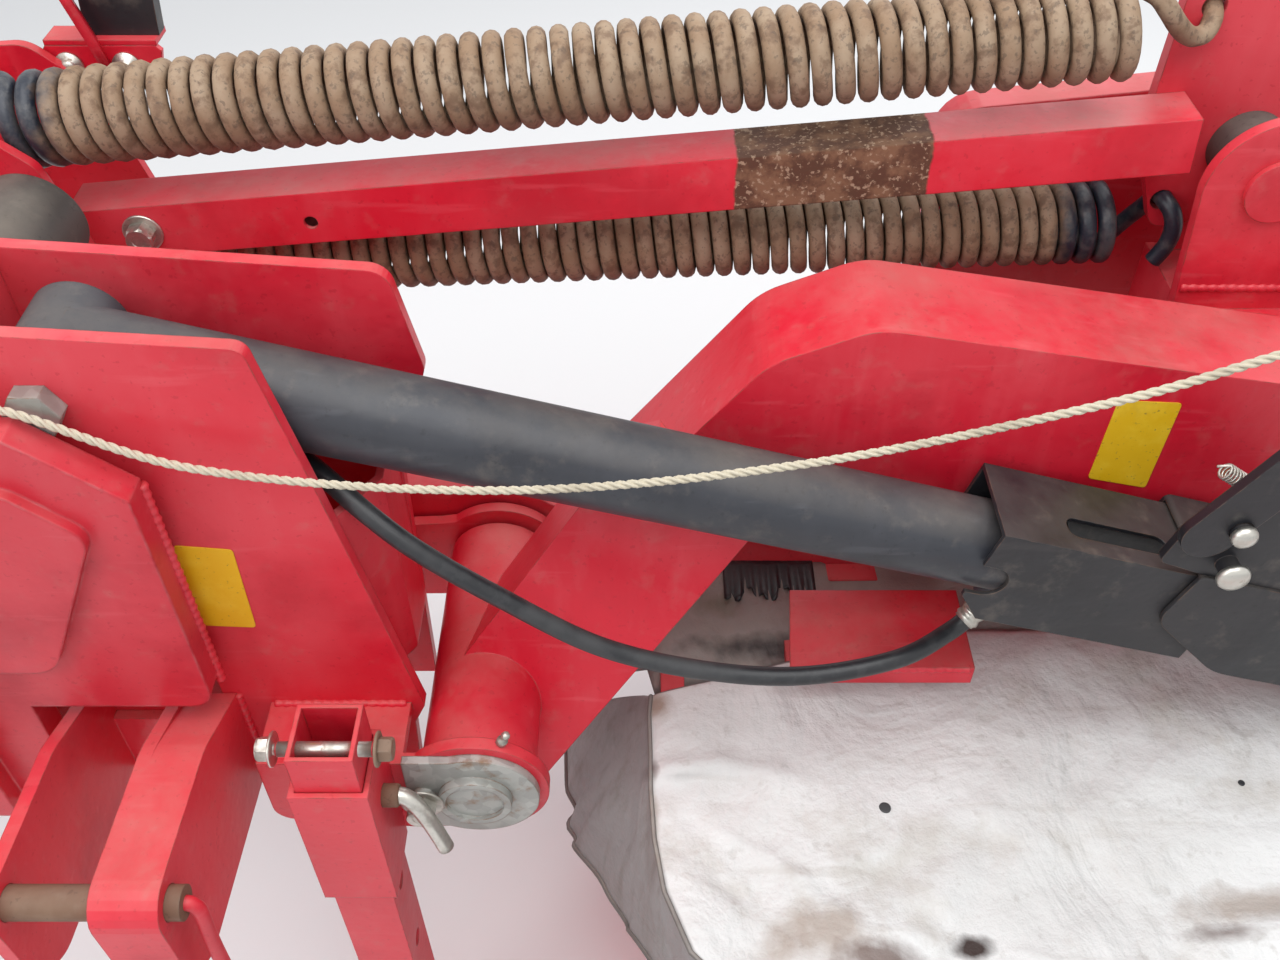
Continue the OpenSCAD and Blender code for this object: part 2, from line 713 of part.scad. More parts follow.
// Lever plate behind the strut, with a hook hole above and below
module lever_plate() color("crimson") at_home()
  difference() {
    xz(lever_y) shape([
      [590, 1118, 20], [660, 1118, 30], [730, 990, 40], [712, 930, 40], [650, 884, 14],
      [622, 884, 14], [588, 975, 30]
    ]);
    bar_y(upper_hook[0], upper_hook[1], wire_d + 6, [lever_y[0] - 1, lever_y[1] + 1]);
    bar_y(lower_hook[0], lower_hook[1], wire_d + 6, [lever_y[0] - 1, lever_y[1] + 1]);
    bar_y(ear_x, ear_z, ear_pin_d + fit, [lever_y[0] - 1, lever_y[1] + 1]);
  }

module lever_bush() color("dimgray") at_home()
  difference() {
    bar_y(ear_x, ear_z, 66, [near_ear_y[1] + 2, lever_y[0]]);
    bar_y(ear_x, ear_z, ear_pin_d + fit, [near_ear_y[1], lever_y[0] + 1]);
  }

module spring_upper() color("tan") at_home()
  coil([-376, strut_y, 1004], [545, strut_y, 1084], [-427.4, strut_y, 1001],
    [612, strut_y + 17.6, 1090]);

module spring_lower() color("tan") at_home()
  coil([-306, lower_spring_y, 840], [585, lower_spring_y, 878], [-335.4, lower_spring_y, 844],
    [625, lower_spring_y + 1.6, 912]);

// Cutterbar case: a flat gear case with a sloping nose and a seat under each disc
module cutterbar_case() color("firebrick") at_home() {
  yz(case_x) polygon([
    [case_y[0], case_z[0] + 8], [case_y[0] + 16, case_z[0]], [case_y[1], case_z[0]],
    [case_y[1], case_z[1] - 14], [case_y[1] - 20, case_z[1]], [case_y[0] + 60, case_z[1]],
    [case_y[0], case_z[0] + 22]
  ]);
  for (i = [0:disc_count - 1])
    bar_z(disc_x0 + i * disc_spacing, disc_y, 110, [case_z[1], disc_z - fit]);
}

// Skid shoes: one curved plate under each disc
module skid_shoes() color("dimgray") at_home()
  for (i = [0:disc_count - 1])
    yz(around(disc_x0 + i * disc_spacing, 75)) shape([
      [case_y[0] + 16, case_z[0], 0], [case_y[0] - 4, case_z[0] - 6, 5], [-60, 0, 120],
      [190, 0, 60], [240, 22, 3], [238, 30, 3], [150, 14, 0], [case_y[1], case_z[0], 0]
    ]);

module shoe_profile()
  shape([
    [-215, 60, 20], [-120, 0, 60], [190, 0, 60], [250, 60, 30], [200, 190, 60], [40, 250, 60],
    [-160, 150, 60]
  ]);
module inner_shoe() color("crimson") at_home() yz([case_x[0] - shoe_t, case_x[0]]) shoe_profile();
module outer_shoe() color("crimson") at_home() yz([case_x[1], case_x[1] + shoe_t]) shoe_profile();

// Deck beam with an arm down to the cutterbar at each end
module deck_beam() color("crimson") at_home() {
  ends = [case_x[0] + 36, case_x[1] - 36 - end_arm_t];
  block([ends[0], ends[1] + end_arm_t], beam_y, beam_z);
  for (x = ends)
    yz([x, x + end_arm_t]) shape([
      [30, case_z[1], 0], [case_y[1] - 20, case_z[1], 0], [beam_y[1], beam_z[0], 30],
      [beam_y[1], beam_z[1], 0], [beam_y[0], beam_z[1], 0], [beam_y[0], beam_z[0] + 20, 30]
    ]);
}

// Hinge cheeks on the beam: the two near plates reach up to the rod eye
module hinge_cheeks() color("crimson") at_home()
  difference() {
    union() {
      block(around(hinge_reach, 80), [lever_near_y[0], cheek_far_y[1]], [beam_z[1], beam_z[1] + 12]);
      for (y = [cheek_near_y, cheek_far_y]) {
        bar_y(hinge_reach, hinge_z, 116, y);
        block(around(hinge_reach, 58), y, [beam_z[1], hinge_z]);
      }
      for (y = [lever_near_y, cheek_near_y]) {
        bar_y(eye_x, eye_z, 62, y);
        xz(y) polygon([
          [eye_x - 20, eye_z - 22], [eye_x + 30, eye_z + 10], [hinge_reach + 58, hinge_z],
          [hinge_reach + 58, beam_z[1]], [hinge_reach - 58, beam_z[1]], [hinge_reach - 58, hinge_z]
        ]);
      }
    }
    for (y = [cheek_near_y, cheek_far_y])
      bar_y(hinge_reach, hinge_z, pivot_pin_d + fit, [y[0] - 1, y[1] + 1]);
    bar_y(eye_x, eye_z, eye_pin_d + fit, [lever_near_y[0] - 1, cheek_near_y[1] + 1]);
  }

module hinge_pin() color("dimgray") at_home() {
  bar_y(hinge_reach, hinge_z, pivot_pin_d, [cheek_near_y[0], cheek_far_y[1]]);
  bar_y(eye_x, eye_z, eye_pin_d, [lever_near_y[0] - 5, lever_near_y[1]]);
  bar_y(eye_x, eye_z, eye_pin_d, [cheek_near_y[0], cheek_near_y[1] + 5]);
}

// Deck gearbox on the hinge axis, with its leg down to the back of the cutterbar
module deck_gearbox() color("dimgray") at_home() {
  x = around(hinge_reach, 40);
  xz([362, 440]) shape([
    [hinge_reach - 62, 320, 20], [hinge_reach + 62, 320, 20], [hinge_reach + 62, 470, 50],
    [hinge_reach - 62, 470, 50]
  ]);
  block(x, [362, 430], [case_z[0] + 5, 322]);
  block(x, [case_y[1], 364], [case_z[0] + 5, case_z[1]]);
  block(x, [beam_y[1], 364], [beam_z[0] + 5, beam_z[0] + 70]);
}

// Frame under the canvas: square tubes, and a round one in front that the guard swings on
module canvas_frame() color("crimson") at_home() {
  rear_y = 235;
  side_x = 180;
  turn_y = -90;
  z = around(tube_z, tube_r);
  bar_x(guard_y, tube_z, guard_tube_d, [frame_x[0] - tube_r, frame_x[4] + tube_r]);
  block([side_x - tube_r, frame_x[1] + tube_r], around(rear_y, tube_r), z);
  block([frame_x[2] - tube_r, frame_x[4] + tube_r], around(rear_y, tube_r), z);
  block([side_x - tube_r, frame_x[0]], around(turn_y, tube_r), z);
  block(around(side_x, tube_r), [turn_y, rear_y], z);
  for (x = frame_x) {
    block(around(x, tube_r), [guard_y, rear_y], z);
    block(around(x, tube_r), around(170, tube_r), [beam_z[1], z[0]]);
  }
}

// Canvas cover: a flat top with flared ends, open below, in front and behind
module cover_outline(grow, inset) {
  left = cover_x[0] - grow + inset;
  right = cover_x[1] + grow - inset;
  shape([
    [left, cover_y[1], 0], [left, -90 - grow / 2, 0], [left + 30, -210 - grow / 2, 60],
    [left + 110, cover_y[0], 0], [right, cover_y[0], 0], [right, cover_y[1], 0]
  ]);
}
module canvas_cover() color("whitesmoke") at_home()
  difference() {
    hull() {
      xy([canvas_z + canvas_t - 1, canvas_z + canvas_t]) cover_outline(0, 0);
      xy([skirt_z, skirt_z + 1]) cover_outline(flare, 0);
    }
    hull() {
      xy([canvas_z - 1, canvas_z]) open_ends() cover_outline(0, canvas_t);
      xy([skirt_z - 2, skirt_z - 1]) open_ends() cover_outline(flare, canvas_t);
    }
    block(notch_x, [notch_y, cover_y[1] + 1], [skirt_z - 5, canvas_z + canvas_t + 1]);
    block([364, 396], [134, 156], [canvas_z - 1, canvas_z + canvas_t + 1]);
  }

// Carries the inner shape past the cover's front and back edges
module open_ends() {
  children();
  translate([0, 1]) children();
  translate([0, -1]) children();
}

// Red tray above the inner end of the canvas, on its post from the beam
module inner_tray() color("crimson") at_home() {
  xy([556, 560]) polygon([[292, 62], [470, 62], [470, 156], [300, 156]]);
  block([292, 470], [58, 62], [536, 560]);
  block([372, 388], [140, 150], [beam_z[1], 556]);
}

// Hinged front guard: side arms, cross tubes and collars round the canvas frame's front tube
module front_guard_frame() color("crimson") at_home() {
  drop = tube_z - guard_front_z;
  reach = guard_y - guard_front_y;
  tilt = atan2(drop, reach);
  length = norm([drop, reach]);
  bar_x(guard_front_y, guard_front_z, frame_tube_d, [frame_x[0], frame_x[4]]);
  for (x = [430, 1500, 2640])
    difference() {
      union() {
        bar_x(guard_y, tube_z, guard_tube_d + 14, around(x, 16));
        translate([x, guard_y, tube_z]) rotate([90 + tilt, 0, 0]) cylinder(d = 20, h = length);
      }
      bar_x(guard_y, tube_z, guard_tube_d + 2 * fit, around(x, 20));
    }
}

module front_guard_canvas() color("whitesmoke") at_home() {
  top = guard_front_z + tube_r + seat;
  rise = tube_z - guard_front_z;
  yz([frame_x[0] - 10, frame_x[4] + 30]) polygon([
    [guard_y - 26, top + rise], [guard_y - 26, top + rise + canvas_t], [y_front, top + canvas_t],
    [y_front, guard_drop_z], [y_front + canvas_t, guard_drop_z], [y_front + canvas_t, top]
  ]);
}

// Cutting disc: an oval dish with a cap and two knives; neighbours stand a quarter turn apart
module disc(i) {
  translate([disc_x0 + i * disc_spacing, disc_y, 0]) rotate(90 * i) {
    xy([disc_z, disc_z + 12]) shape([
      [-168, -50, 60], [-60, -112, 90], [60, -112, 90], [168, -50, 60], [168, 50, 60],
      [60, 112, 90], [-60, 112, 90], [-168, 50, 60]
    ]);
    bar_z(0, 0, 110, [disc_z + 12, disc_z + 28]);
    for (side = [0, 180])
      rotate(side) {
        xy([disc_z - 5, disc_z]) shape([
          [126, -20, 8], [knife_reach - 6, -26, 3], [knife_reach - 6, 20, 3], [126, 20, 8]
        ]);
        bar_z(142, 0, 26, [disc_z, disc_z + 18]);
      }
  }
}

module pull_rope() color("beige") at_home() sweep(curve(rope_points, 5), rope_d / 2, 8);
module lift_hose() color("black") at_home() sweep(curve(hose_points, 4), hose_d / 2, 8);

headstock_frame();
mast();
lower_link_bracket_right();
lower_link_bracket_left();
lower_link_pins();
fork_plate_near();
fork_plate_far();
fork_web();
pivot_pin();
pivot_cap();
gearbox();
pto_shaft();
drive_casing();
rear_cover();
spring_bracket();
bracket_bush();
leg_sleeve();
leg_lock_pin();
cylinder_base_pin();
stand_leg();
arm_box();
arm_ears();
ear_pin();
belt_case();
drive_hood();
cylinder_barrel();
lock_channel();
cylinder_rod();
rod_eye_pin();
rod_housing();
latch_hook();
latch_lever();
strut_tube();
lever_plate();
lever_bush();
spring_upper();
spring_lower();
cutterbar_case();
skid_shoes();
inner_shoe();
outer_shoe();
deck_beam();
hinge_cheeks();
hinge_pin();
deck_gearbox();
canvas_frame();
canvas_cover();
inner_tray();
front_guard_frame();
front_guard_canvas();
color("gray") at_home() disc(0);  // disc_1
color("gray") at_home() disc(1);  // disc_2
color("gray") at_home() disc(2);  // disc_3
color("gray") at_home() disc(3);  // disc_4
color("gray") at_home() disc(4);  // disc_5
color("gray") at_home() disc(5);  // disc_6
pull_rope();
lift_hose();
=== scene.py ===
import json
import math
import random

import bpy
import numpy as np
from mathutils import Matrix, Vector


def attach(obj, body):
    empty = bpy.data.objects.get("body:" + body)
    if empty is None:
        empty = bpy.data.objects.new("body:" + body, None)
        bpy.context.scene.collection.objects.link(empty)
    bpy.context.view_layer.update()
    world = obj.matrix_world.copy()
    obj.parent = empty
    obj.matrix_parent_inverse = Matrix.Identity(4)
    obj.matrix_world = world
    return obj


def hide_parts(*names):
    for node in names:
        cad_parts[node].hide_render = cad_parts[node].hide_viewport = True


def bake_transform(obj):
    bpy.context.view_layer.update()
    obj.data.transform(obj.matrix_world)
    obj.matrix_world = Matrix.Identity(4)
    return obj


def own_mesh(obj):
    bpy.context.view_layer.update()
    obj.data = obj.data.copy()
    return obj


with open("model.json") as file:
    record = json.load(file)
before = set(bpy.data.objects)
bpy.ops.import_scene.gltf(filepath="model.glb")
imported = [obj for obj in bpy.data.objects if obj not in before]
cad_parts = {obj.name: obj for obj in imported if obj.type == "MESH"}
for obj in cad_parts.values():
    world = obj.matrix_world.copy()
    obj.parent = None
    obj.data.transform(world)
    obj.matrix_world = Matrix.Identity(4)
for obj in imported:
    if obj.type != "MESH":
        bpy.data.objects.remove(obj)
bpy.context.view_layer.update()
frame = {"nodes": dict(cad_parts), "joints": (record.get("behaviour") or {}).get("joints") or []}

# Camera: at eye height beside the hitch, turned 44.5 degrees down onto the main pivot. Every place
# below is in millimetres from the foot of that pivot, with X along the cutterbar, -Y to the front
# and Z up from the ground.
lift_joint = next(joint for joint in frame["joints"] if joint["name"] == "arm_lift")
datum = Vector(lift_joint["pos_m"]) - Vector((0, 0.165, 0.545))


def at(x, y, z):
    return datum + Vector((x, y, z)) / 1000


camera = bpy.data.objects.new("camera", bpy.data.cameras.new("camera"))
camera.data.sensor_width = 36
camera.data.lens = 33.75
camera.location = at(147, -640, 1500)
camera.rotation_euler = (math.radians(90 - 44.5), 0, 0)
bpy.context.scene.collection.objects.link(camera)
bpy.context.scene.camera = camera


# Pull rope: a three-strand rope, laid right-handed, 7 mm over its strands. It comes out of the near
# fork plate, hangs in one low bow over the cylinder and is tied to the lever of the transport lock.
def smooth(points, steps):
    points = [Vector(p) for p in points]
    line = []
    for i in range(len(points) - 1):
        a, b = points[max(i - 1, 0)], points[i]
        c, d = points[i + 1], points[min(i + 2, len(points) - 1)]
        for k in range(steps):
            t = k / steps
            line.append(0.5 * (2 * b + (c - a) * t + (2 * a - 5 * b + 4 * c - d) * t * t
                               + (3 * b - a - 3 * c + d) * t ** 3))
    return line + [points[-1]]


def placed(points):
    return [at(*p) for p in points]


def route(points, steps):
    return smooth(placed(points), steps)


def length_of(path):
    return sum((b - a).length for a, b in zip(path, path[1:]))


def mesh_piece(name, points, faces, material, body=None, flat=False):
    mesh = bpy.data.meshes.new(name)
    mesh.from_pydata([tuple(p) for p in points], [], [tuple(f) for f in faces])
    mesh.validate()
    mesh.materials.append(material)
    if not flat:
        mesh.shade_smooth()
    piece = bpy.data.objects.new(name, mesh)
    bpy.context.scene.collection.objects.link(piece)
    if body:
        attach(piece, body)
    return piece


def ring_faces(sides, last):
    return [(i * sides + k, i * sides + (k + 1) % sides, (i + 1) * sides + (k + 1) % sides,
             (i + 1) * sides + k) for i in range(last) for k in range(sides)]


def swept(name, path, outline, material, body=None, twist=0.0, swell=None):
    """Outline carried along a path; twist is in radians a metre, swell a size at each share of it"""
    places = np.array([tuple(p) for p in path])
    ahead = np.gradient(places, axis=0)
    ahead /= np.linalg.norm(ahead, axis=1)[:, None]
    side = np.cross(ahead[0], (0.31, 0.17, 1.0))
    outline = np.array(outline)
    points, marks, run = [], [], 0.0
    sides, last = len(outline), len(places) - 1
    for i, (place, way) in enumerate(zip(places, ahead)):
        run += np.linalg.norm(place - places[max(i - 1, 0)])
        side = side - way * (side @ way)
        side /= np.linalg.norm(side)
        over = np.cross(way, side)
        c, s = math.cos(twist * run), math.sin(twist * run)
        for x, y in outline * (swell(i / last) if swell else 1.0):
            points.append(place + (x * c - y * s) * side + (x * s + y * c) * over)
        marks.append(run)
    faces = ring_faces(sides, last)
    foot, head = len(points), len(points) + 1
    points += [places[0], places[-1]]
    for k in range(sides):
        j = (k + 1) % sides
        faces += [(foot, j, k), (head, last * sides + k, last * sides + j)]
    piece = mesh_piece(name, points, faces, material, body)
    grid = piece.data.uv_layers.new(name="Lay")
    for n, face in enumerate(piece.data.polygons[:last * sides]):
        i, k = divmod(n, sides)
        corners = ((i, k), (i, k + 1), (i + 1, k + 1), (i + 1, k))
        for loop, (row, col) in zip(face.loop_indices, corners):
            grid.data[loop].uv = (col / sides, marks[row])
    return piece


def feed(tree, socket, value):
    if isinstance(value, bpy.types.NodeSocket):
        tree.links.new(value, socket)
    else:
        socket.default_value = (*value, 1) if socket.type == "RGBA" else value


def add(tree, kind, sockets=(), **settings):
    node = tree.nodes.new("ShaderNode" + kind)
    for key, value in settings.items():
        setattr(node, key, value)
    for key, value in dict(sockets).items():
        feed(tree, node.inputs[key], value)
    return node


def mixed(tree, amount, a, b):
    return add(tree, "Mix", {0: amount, 6: a, 7: b}, data_type="RGBA").outputs[2]


def times(tree, a, b):
    return add(tree, "Math", {0: a, 1: b}, operation="MULTIPLY").outputs[0]


def plus(tree, a, b):
    return add(tree, "Math", {0: a, 1: b}, operation="ADD").outputs[0]


def layered(tree, tone, *layers):
    """tone with a colour laid over it for each layer: its mask, its share and its colour"""
    for mask, share, colour in layers:
        tone = mixed(tree, times(tree, mask, share), tone, colour)
    return tone


def ramp(tree, value, low, high, bottom=0.0, top=1.0, **settings):
    sockets = {"Value": value, "From Min": low, "From Max": high, "To Min": bottom, "To Max": top}
    return add(tree, "MapRange", sockets, **settings).outputs[0]


def noise(tree, where, scale, detail=2.0, **more):
    sockets = {"Vector": where, "Scale": scale, "Detail": detail, **more}
    return add(tree, "TexNoise", sockets).outputs["Fac"]


def bump(tree, height, strength, distance, **normal):
    sockets = {"Height": height, "Strength": strength, "Distance": distance, **normal}
    return add(tree, "Bump", sockets).outputs[0]


def on_object(tree):
    return add(tree, "TexCoord").outputs["Object"]


def new_group(name, inputs, **outputs):
    tree = bpy.data.node_groups.new(name, "ShaderNodeTree")
    for label, value in inputs.items():
        tree.interface.new_socket(label, in_out="INPUT",
                                  socket_type="NodeSocketFloat").default_value = value
    for label, kind in outputs.items():
        tree.interface.new_socket(label, in_out="OUTPUT", socket_type="NodeSocket" + kind)
    return tree, tree.nodes.new("NodeGroupInput").outputs, tree.nodes.new("NodeGroupOutput")


def finish_group(tree, end, **sockets):
    for label, socket in sockets.items():
        tree.links.new(socket, end.inputs[label])


def effect(tree, group, **values):
    return add(tree, "Group", values, node_tree=group).outputs


def new_material(name):
    material = bpy.data.materials.new(name)
    material.use_nodes = True
    return material, material.node_tree, material.node_tree.nodes["Principled BSDF"]


def wire_up(tree, shader, **sockets):
    for label, value in sockets.items():
        feed(tree, shader.inputs[label.replace("_", " ")], value)


# patches: cloudy mask for fading, stains and dust
patches, given, end = new_group("patches", {"Scale": 5.0, "Low": 0.4, "High": 0.7, "Detail": 6.0,
                                            "Drift": 0.0}, Mask="Float")
spot = add(patches, "VectorMath", {0: on_object(patches), 1: given["Drift"]},
           operation="ADD").outputs[0]
cloud = noise(patches, spot, given["Scale"], given["Detail"], Roughness=0.6)
finish_group(patches, end, Mask=ramp(patches, cloud, given["Low"], given["High"],
                                     interpolation_type="SMOOTHSTEP"))


def patch(tree, scale, low, high, detail=6.0, drift=0.0):
    return effect(tree, patches, Scale=scale, Low=low, High=high, Detail=detail,
                  Drift=drift)["Mask"]


def rope_fibre():
    material, tree, shader = new_material("rope fibre")
    lay = add(tree, "UVMap", uv_map="Lay").outputs["UV"]
    slant = add(tree, "Mapping", {"Vector": lay, "Scale": (90, 260, 1)}).outputs[0]
    yarn = noise(tree, slant, 1.0, 3.0)
    tone = layered(tree, mixed(tree, yarn, (0.50, 0.43, 0.31), (0.78, 0.72, 0.58)),
                   (patch(tree, 9, 0.48, 0.72), 0.55, (0.30, 0.24, 0.17)))
    wire_up(tree, shader, Base_Color=tone, Roughness=0.85, Normal=bump(tree, yarn, 0.6, 0.0006))
    return material


rope_d = 7
strand_share = 0.464
lay_length = 0.026
rope_line = route((
    (-424, 1, 964), (-412, -10, 964), (-298, -20, 960), (-169, -20, 901), (45, -20, 880),
    (261, -20, 906), (461, -20, 962), (568, -20, 1006), (668, -14, 1042), (722, -6, 1056),
    (740, 0, 1055)), 72)
strand_r = strand_share * rope_d / 2000
strand_out = rope_d / 2000 - strand_r
rope_outline = []
for k in range(18):
    turn = math.radians(20 * k)
    lean = (turn + math.pi / 3) % (2 * math.pi / 3) - math.pi / 3
    reach = strand_out * math.cos(lean)
    reach += math.sqrt(max(strand_r ** 2 - (strand_out * math.sin(lean)) ** 2, 0))
    rope_outline.append((reach * math.cos(turn), reach * math.sin(turn)))
rope = swept("pull_rope_laid", rope_line, rope_outline, rope_fibre(),
             twist=2 * math.pi / lay_length)
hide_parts("pull_rope")
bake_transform(rope)


# Lift hose: a rubber hose with a smooth cover, crimped into a plated ferrule at each end. It leaves
# the far fork plate, hangs in a bow in front of the arm and comes up to the cylinder's port.
def circle(radius, sides):
    turns = [2 * math.pi * k / sides for k in range(sides)]
    return [(radius * math.cos(turn), radius * math.sin(turn)) for turn in turns]


def hose_rubber():
    material, tree, shader = new_material("hose rubber")
    dust = patch(tree, 14, 0.42, 0.74)
    tone = layered(tree, (0.018, 0.019, 0.022), (dust, 0.5, (0.10, 0.10, 0.10)),
                   (patch(tree, 60, 0.50, 0.62, drift=3), 0.35, (0.055, 0.055, 0.058)))
    skin = bump(tree, noise(tree, on_object(tree), 700.0), 0.25, 0.0003)
    wire_up(tree, shader, Base_Color=tone, Roughness=ramp(tree, dust, 0, 1, 0.38, 0.75),
            Normal=skin)
    return material


def plated_steel():
    material, tree, shader = new_material("plated steel")
    dull = patch(tree, 40, 0.40, 0.66)
    rust = patch(tree, 75, 0.60, 0.72, drift=5)
    tone = layered(tree, mixed(tree, dull, (0.62, 0.60, 0.55), (0.36, 0.34, 0.30)),
                   (rust, 0.8, (0.19, 0.085, 0.035)))
    wire_up(tree, shader, Base_Color=tone, Roughness=ramp(tree, dull, 0, 1, 0.32, 0.6),
            Metallic=ramp(tree, rust, 0, 1, 0.9, 0.1))
    return material


PLATED = plated_steel()
hose_d = 17
ferrule_r = 0.0118
hose_line = route((
    (-186, 88, 846), (-165, 84, 846), (-134, 64, 842), (-105, 42, 836), (-70, 18, 818),
    (-30, 2, 790), (29, -4, 742), (112, -8, 680), (201, -8, 646), (290, -4, 632),
    (376, 14, 632), (430, 48, 628), (453, 60, 644), (460, 60, 668)), 14)
hose = swept("lift_hose_rubber", hose_line, circle(hose_d / 2000, 20), hose_rubber())
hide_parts("lift_hose")
for label, body, line in (("fork", "headstock", hose_line[:22]),
                          ("port", "cylinder", hose_line[:-23:-1])):
    ferrule = swept("hose_ferrule_" + label, line, circle(ferrule_r, 24), PLATED, body,
                    swell=lambda t: 0.93 + 0.07 * math.cos(9 * math.pi * t) if t < 0.94 else 0.86)
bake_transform(hose)

# Studio: a plain pale floor under a white background, lit by a dim sky and by three wide lamps,
# one overhead and two at the sides.
scene = bpy.context.scene
scene.view_settings.view_transform = "Standard"
floor_material, tree, shader = new_material("studio floor")
wire_up(tree, shader, Base_Color=(0.80, 0.80, 0.80), Roughness=0.9)
corners = [(-30, -30, 0), (30, -30, 0), (30, 30, 0), (-30, 30, 0)]
floor = mesh_piece("studio_floor", corners, [(0, 1, 2, 3)], floor_material, flat=True)
world = bpy.data.worlds.new("studio")
scene.world = world
world.use_nodes = True
tree = world.node_tree
glow = add(tree, "Background", {"Color": (1, 1, 1), "Strength": 1.0})
fill = add(tree, "Background", {"Color": (0.93, 0.96, 1.0), "Strength": 0.62})
ray = add(tree, "LightPath").outputs
seen = ray["Is Camera Ray"]
for other in ("Is Glossy Ray", "Is Transmission Ray"):
    seen = add(tree, "Math", {0: seen, 1: ray[other]}, operation="MAXIMUM").outputs[0]
sky = add(tree, "MixShader", {0: seen, 1: fill.outputs[0], 2: glow.outputs[0]})
tree.links.new(sky.outputs[0], tree.nodes["World Output"].inputs["Surface"])
for label, place, size, watts in (("overhead", (200, -600, 3600), 3.2, 95),
                                  ("left", (-2600, -1600, 2300), 2.2, 34),
                                  ("back", (1800, 2600, 2600), 2.4, 34)):
    lamp = bpy.data.objects.new("lamp_" + label, bpy.data.lights.new("lamp_" + label, "AREA"))
    lamp.data.shape = "SQUARE"
    lamp.data.size = size
    lamp.data.energy = watts
    lamp.location = at(*place)
    lamp.rotation_euler = (at(300, 0, 500) - lamp.location).to_track_quat("-Z", "Y").to_euler()
    scene.collection.objects.link(lamp)

# Red steelwork: welded plate and box section under crimson paint. It has chalked on the faces,
# holds dust on top, and is worn to primer and rust along some of its edges.

# worn edges: mask for chipped corners, and the normal that rounds them
worn_edges, given, end = new_group("worn edges", {"Radius": 0.002, "Low": 0.02, "High": 0.12,
                                                  "Break": 60.0}, Mask="Float", Normal="Vector")
rounded = add(worn_edges, "Bevel", {"Radius": given["Radius"]}, samples=6).outputs[0]
facing = add(worn_edges, "NewGeometry").outputs["Normal"]
same = add(worn_edges, "VectorMath", {0: rounded, 1: facing},
           operation="DOT_PRODUCT").outputs["Value"]
apart = add(worn_edges, "Math", {0: 1.0, 1: same}, operation="SUBTRACT").outputs[0]
edge = ramp(worn_edges, apart, given["Low"], given["High"])
chips = noise(worn_edges, on_object(worn_edges), given["Break"], 5.0)
finish_group(worn_edges, end, Mask=times(worn_edges, edge, ramp(worn_edges, chips, 0.42, 0.6)),
             Normal=rounded)

# lying dust: mask for dust on the faces that look up
lying_dust, given, end = new_group("lying dust", {"Scale": 9.0, "Low": 0.35, "High": 0.7},
                                   Mask="Float")
spots = add(lying_dust, "TexCoord").outputs
up = add(lying_dust, "SeparateXYZ", {0: spots["Normal"]}).outputs["Z"]
cloud = noise(lying_dust, spots["Object"], given["Scale"], 7.0, Roughness=0.68)
cloud = ramp(lying_dust, cloud, given["Low"], given["High"])
finish_group(lying_dust, end, Mask=times(lying_dust, ramp(lying_dust, up, 0.55, 0.98), cloud))

# scuffs: mask for scratches in one direction
scuffs, given, end = new_group("scuffs", {"Along": 3.0, "Across": 90.0, "Low": 0.60,
                                          "High": 0.68, "Turn": 0.3}, Mask="Float")
spin = add(scuffs, "CombineXYZ", {"Y": given["Turn"], "Z": given["Turn"]}).outputs[0]
stretch = add(scuffs, "CombineXYZ", {"X": given["Along"], "Y": given["Across"],
                                     "Z": given["Across"]}).outputs[0]
spot = add(scuffs, "Mapping", {"Vector": on_object(scuffs), "Rotation": spin,
                               "Scale": stretch}).outputs[0]
finish_group(scuffs, end, Mask=ramp(scuffs, noise(scuffs, spot, 1.0, 4.0), given["Low"],
                                    given["High"]))


def painted(name, paint, chalk, deep, under, wear=0.8, chalk_share=0.45, dust_share=0.3,
            scuff_share=0.28, gloss=0.34, radius=0.002, dust=(0.36, 0.30, 0.24)):
    """Paint on steel: the paint, its chalky and deep tones, and what shows under it at the edges"""
    material, tree, shader = new_material(name)
    edges = effect(tree, worn_edges, Radius=radius)
    powder = effect(tree, lying_dust)["Mask"]
    rubs = effect(tree, scuffs, Along=9.0, Across=75.0, Low=0.63, High=0.72, Turn=1.15)["Mask"]
    runs = add(tree, "Mapping", {"Vector": on_object(tree), "Scale": (38, 38, 4)}).outputs[0]
    runs = ramp(tree, noise(tree, runs, 1.0, 6.0), 0.52, 0.78)
    faded = patch(tree, 3.2, 0.40, 0.68, 9)
    tone = layered(tree, paint, (faded, chalk_share, chalk), (runs, chalk_share * 0.6, chalk),
                   (patch(tree, 6, 0.48, 0.72, 9, drift=4), 0.6, deep),
                   (patch(tree, 40, 0.54, 0.76, 9, drift=6), 0.14, dust),
                   (rubs, scuff_share, chalk),
                   (patch(tree, 160, 0.63, 0.70, 2, drift=8), 0.35, deep),
                   (powder, dust_share, dust), (edges["Mask"], wear, under))
    rough = plus(tree, ramp(tree, faded, 0, 1, gloss, gloss + 0.22), times(tree, powder, 0.3))
    coat = bump(tree, patch(tree, 22, 0.3, 0.7, 3, drift=2), 0.22, 0.0016,
                Normal=edges["Normal"])
    coat = bump(tree, noise(tree, on_object(tree), 240.0, 3.0), 0.12, 0.0005, Normal=coat)
    wire_up(tree, shader, Base_Color=tone, Roughness=rough, Normal=coat)
    return material


def paint_nodes(material, *nodes):
    for node in nodes:
        for socket in frame["nodes"][node].material_slots:
            socket.material = material


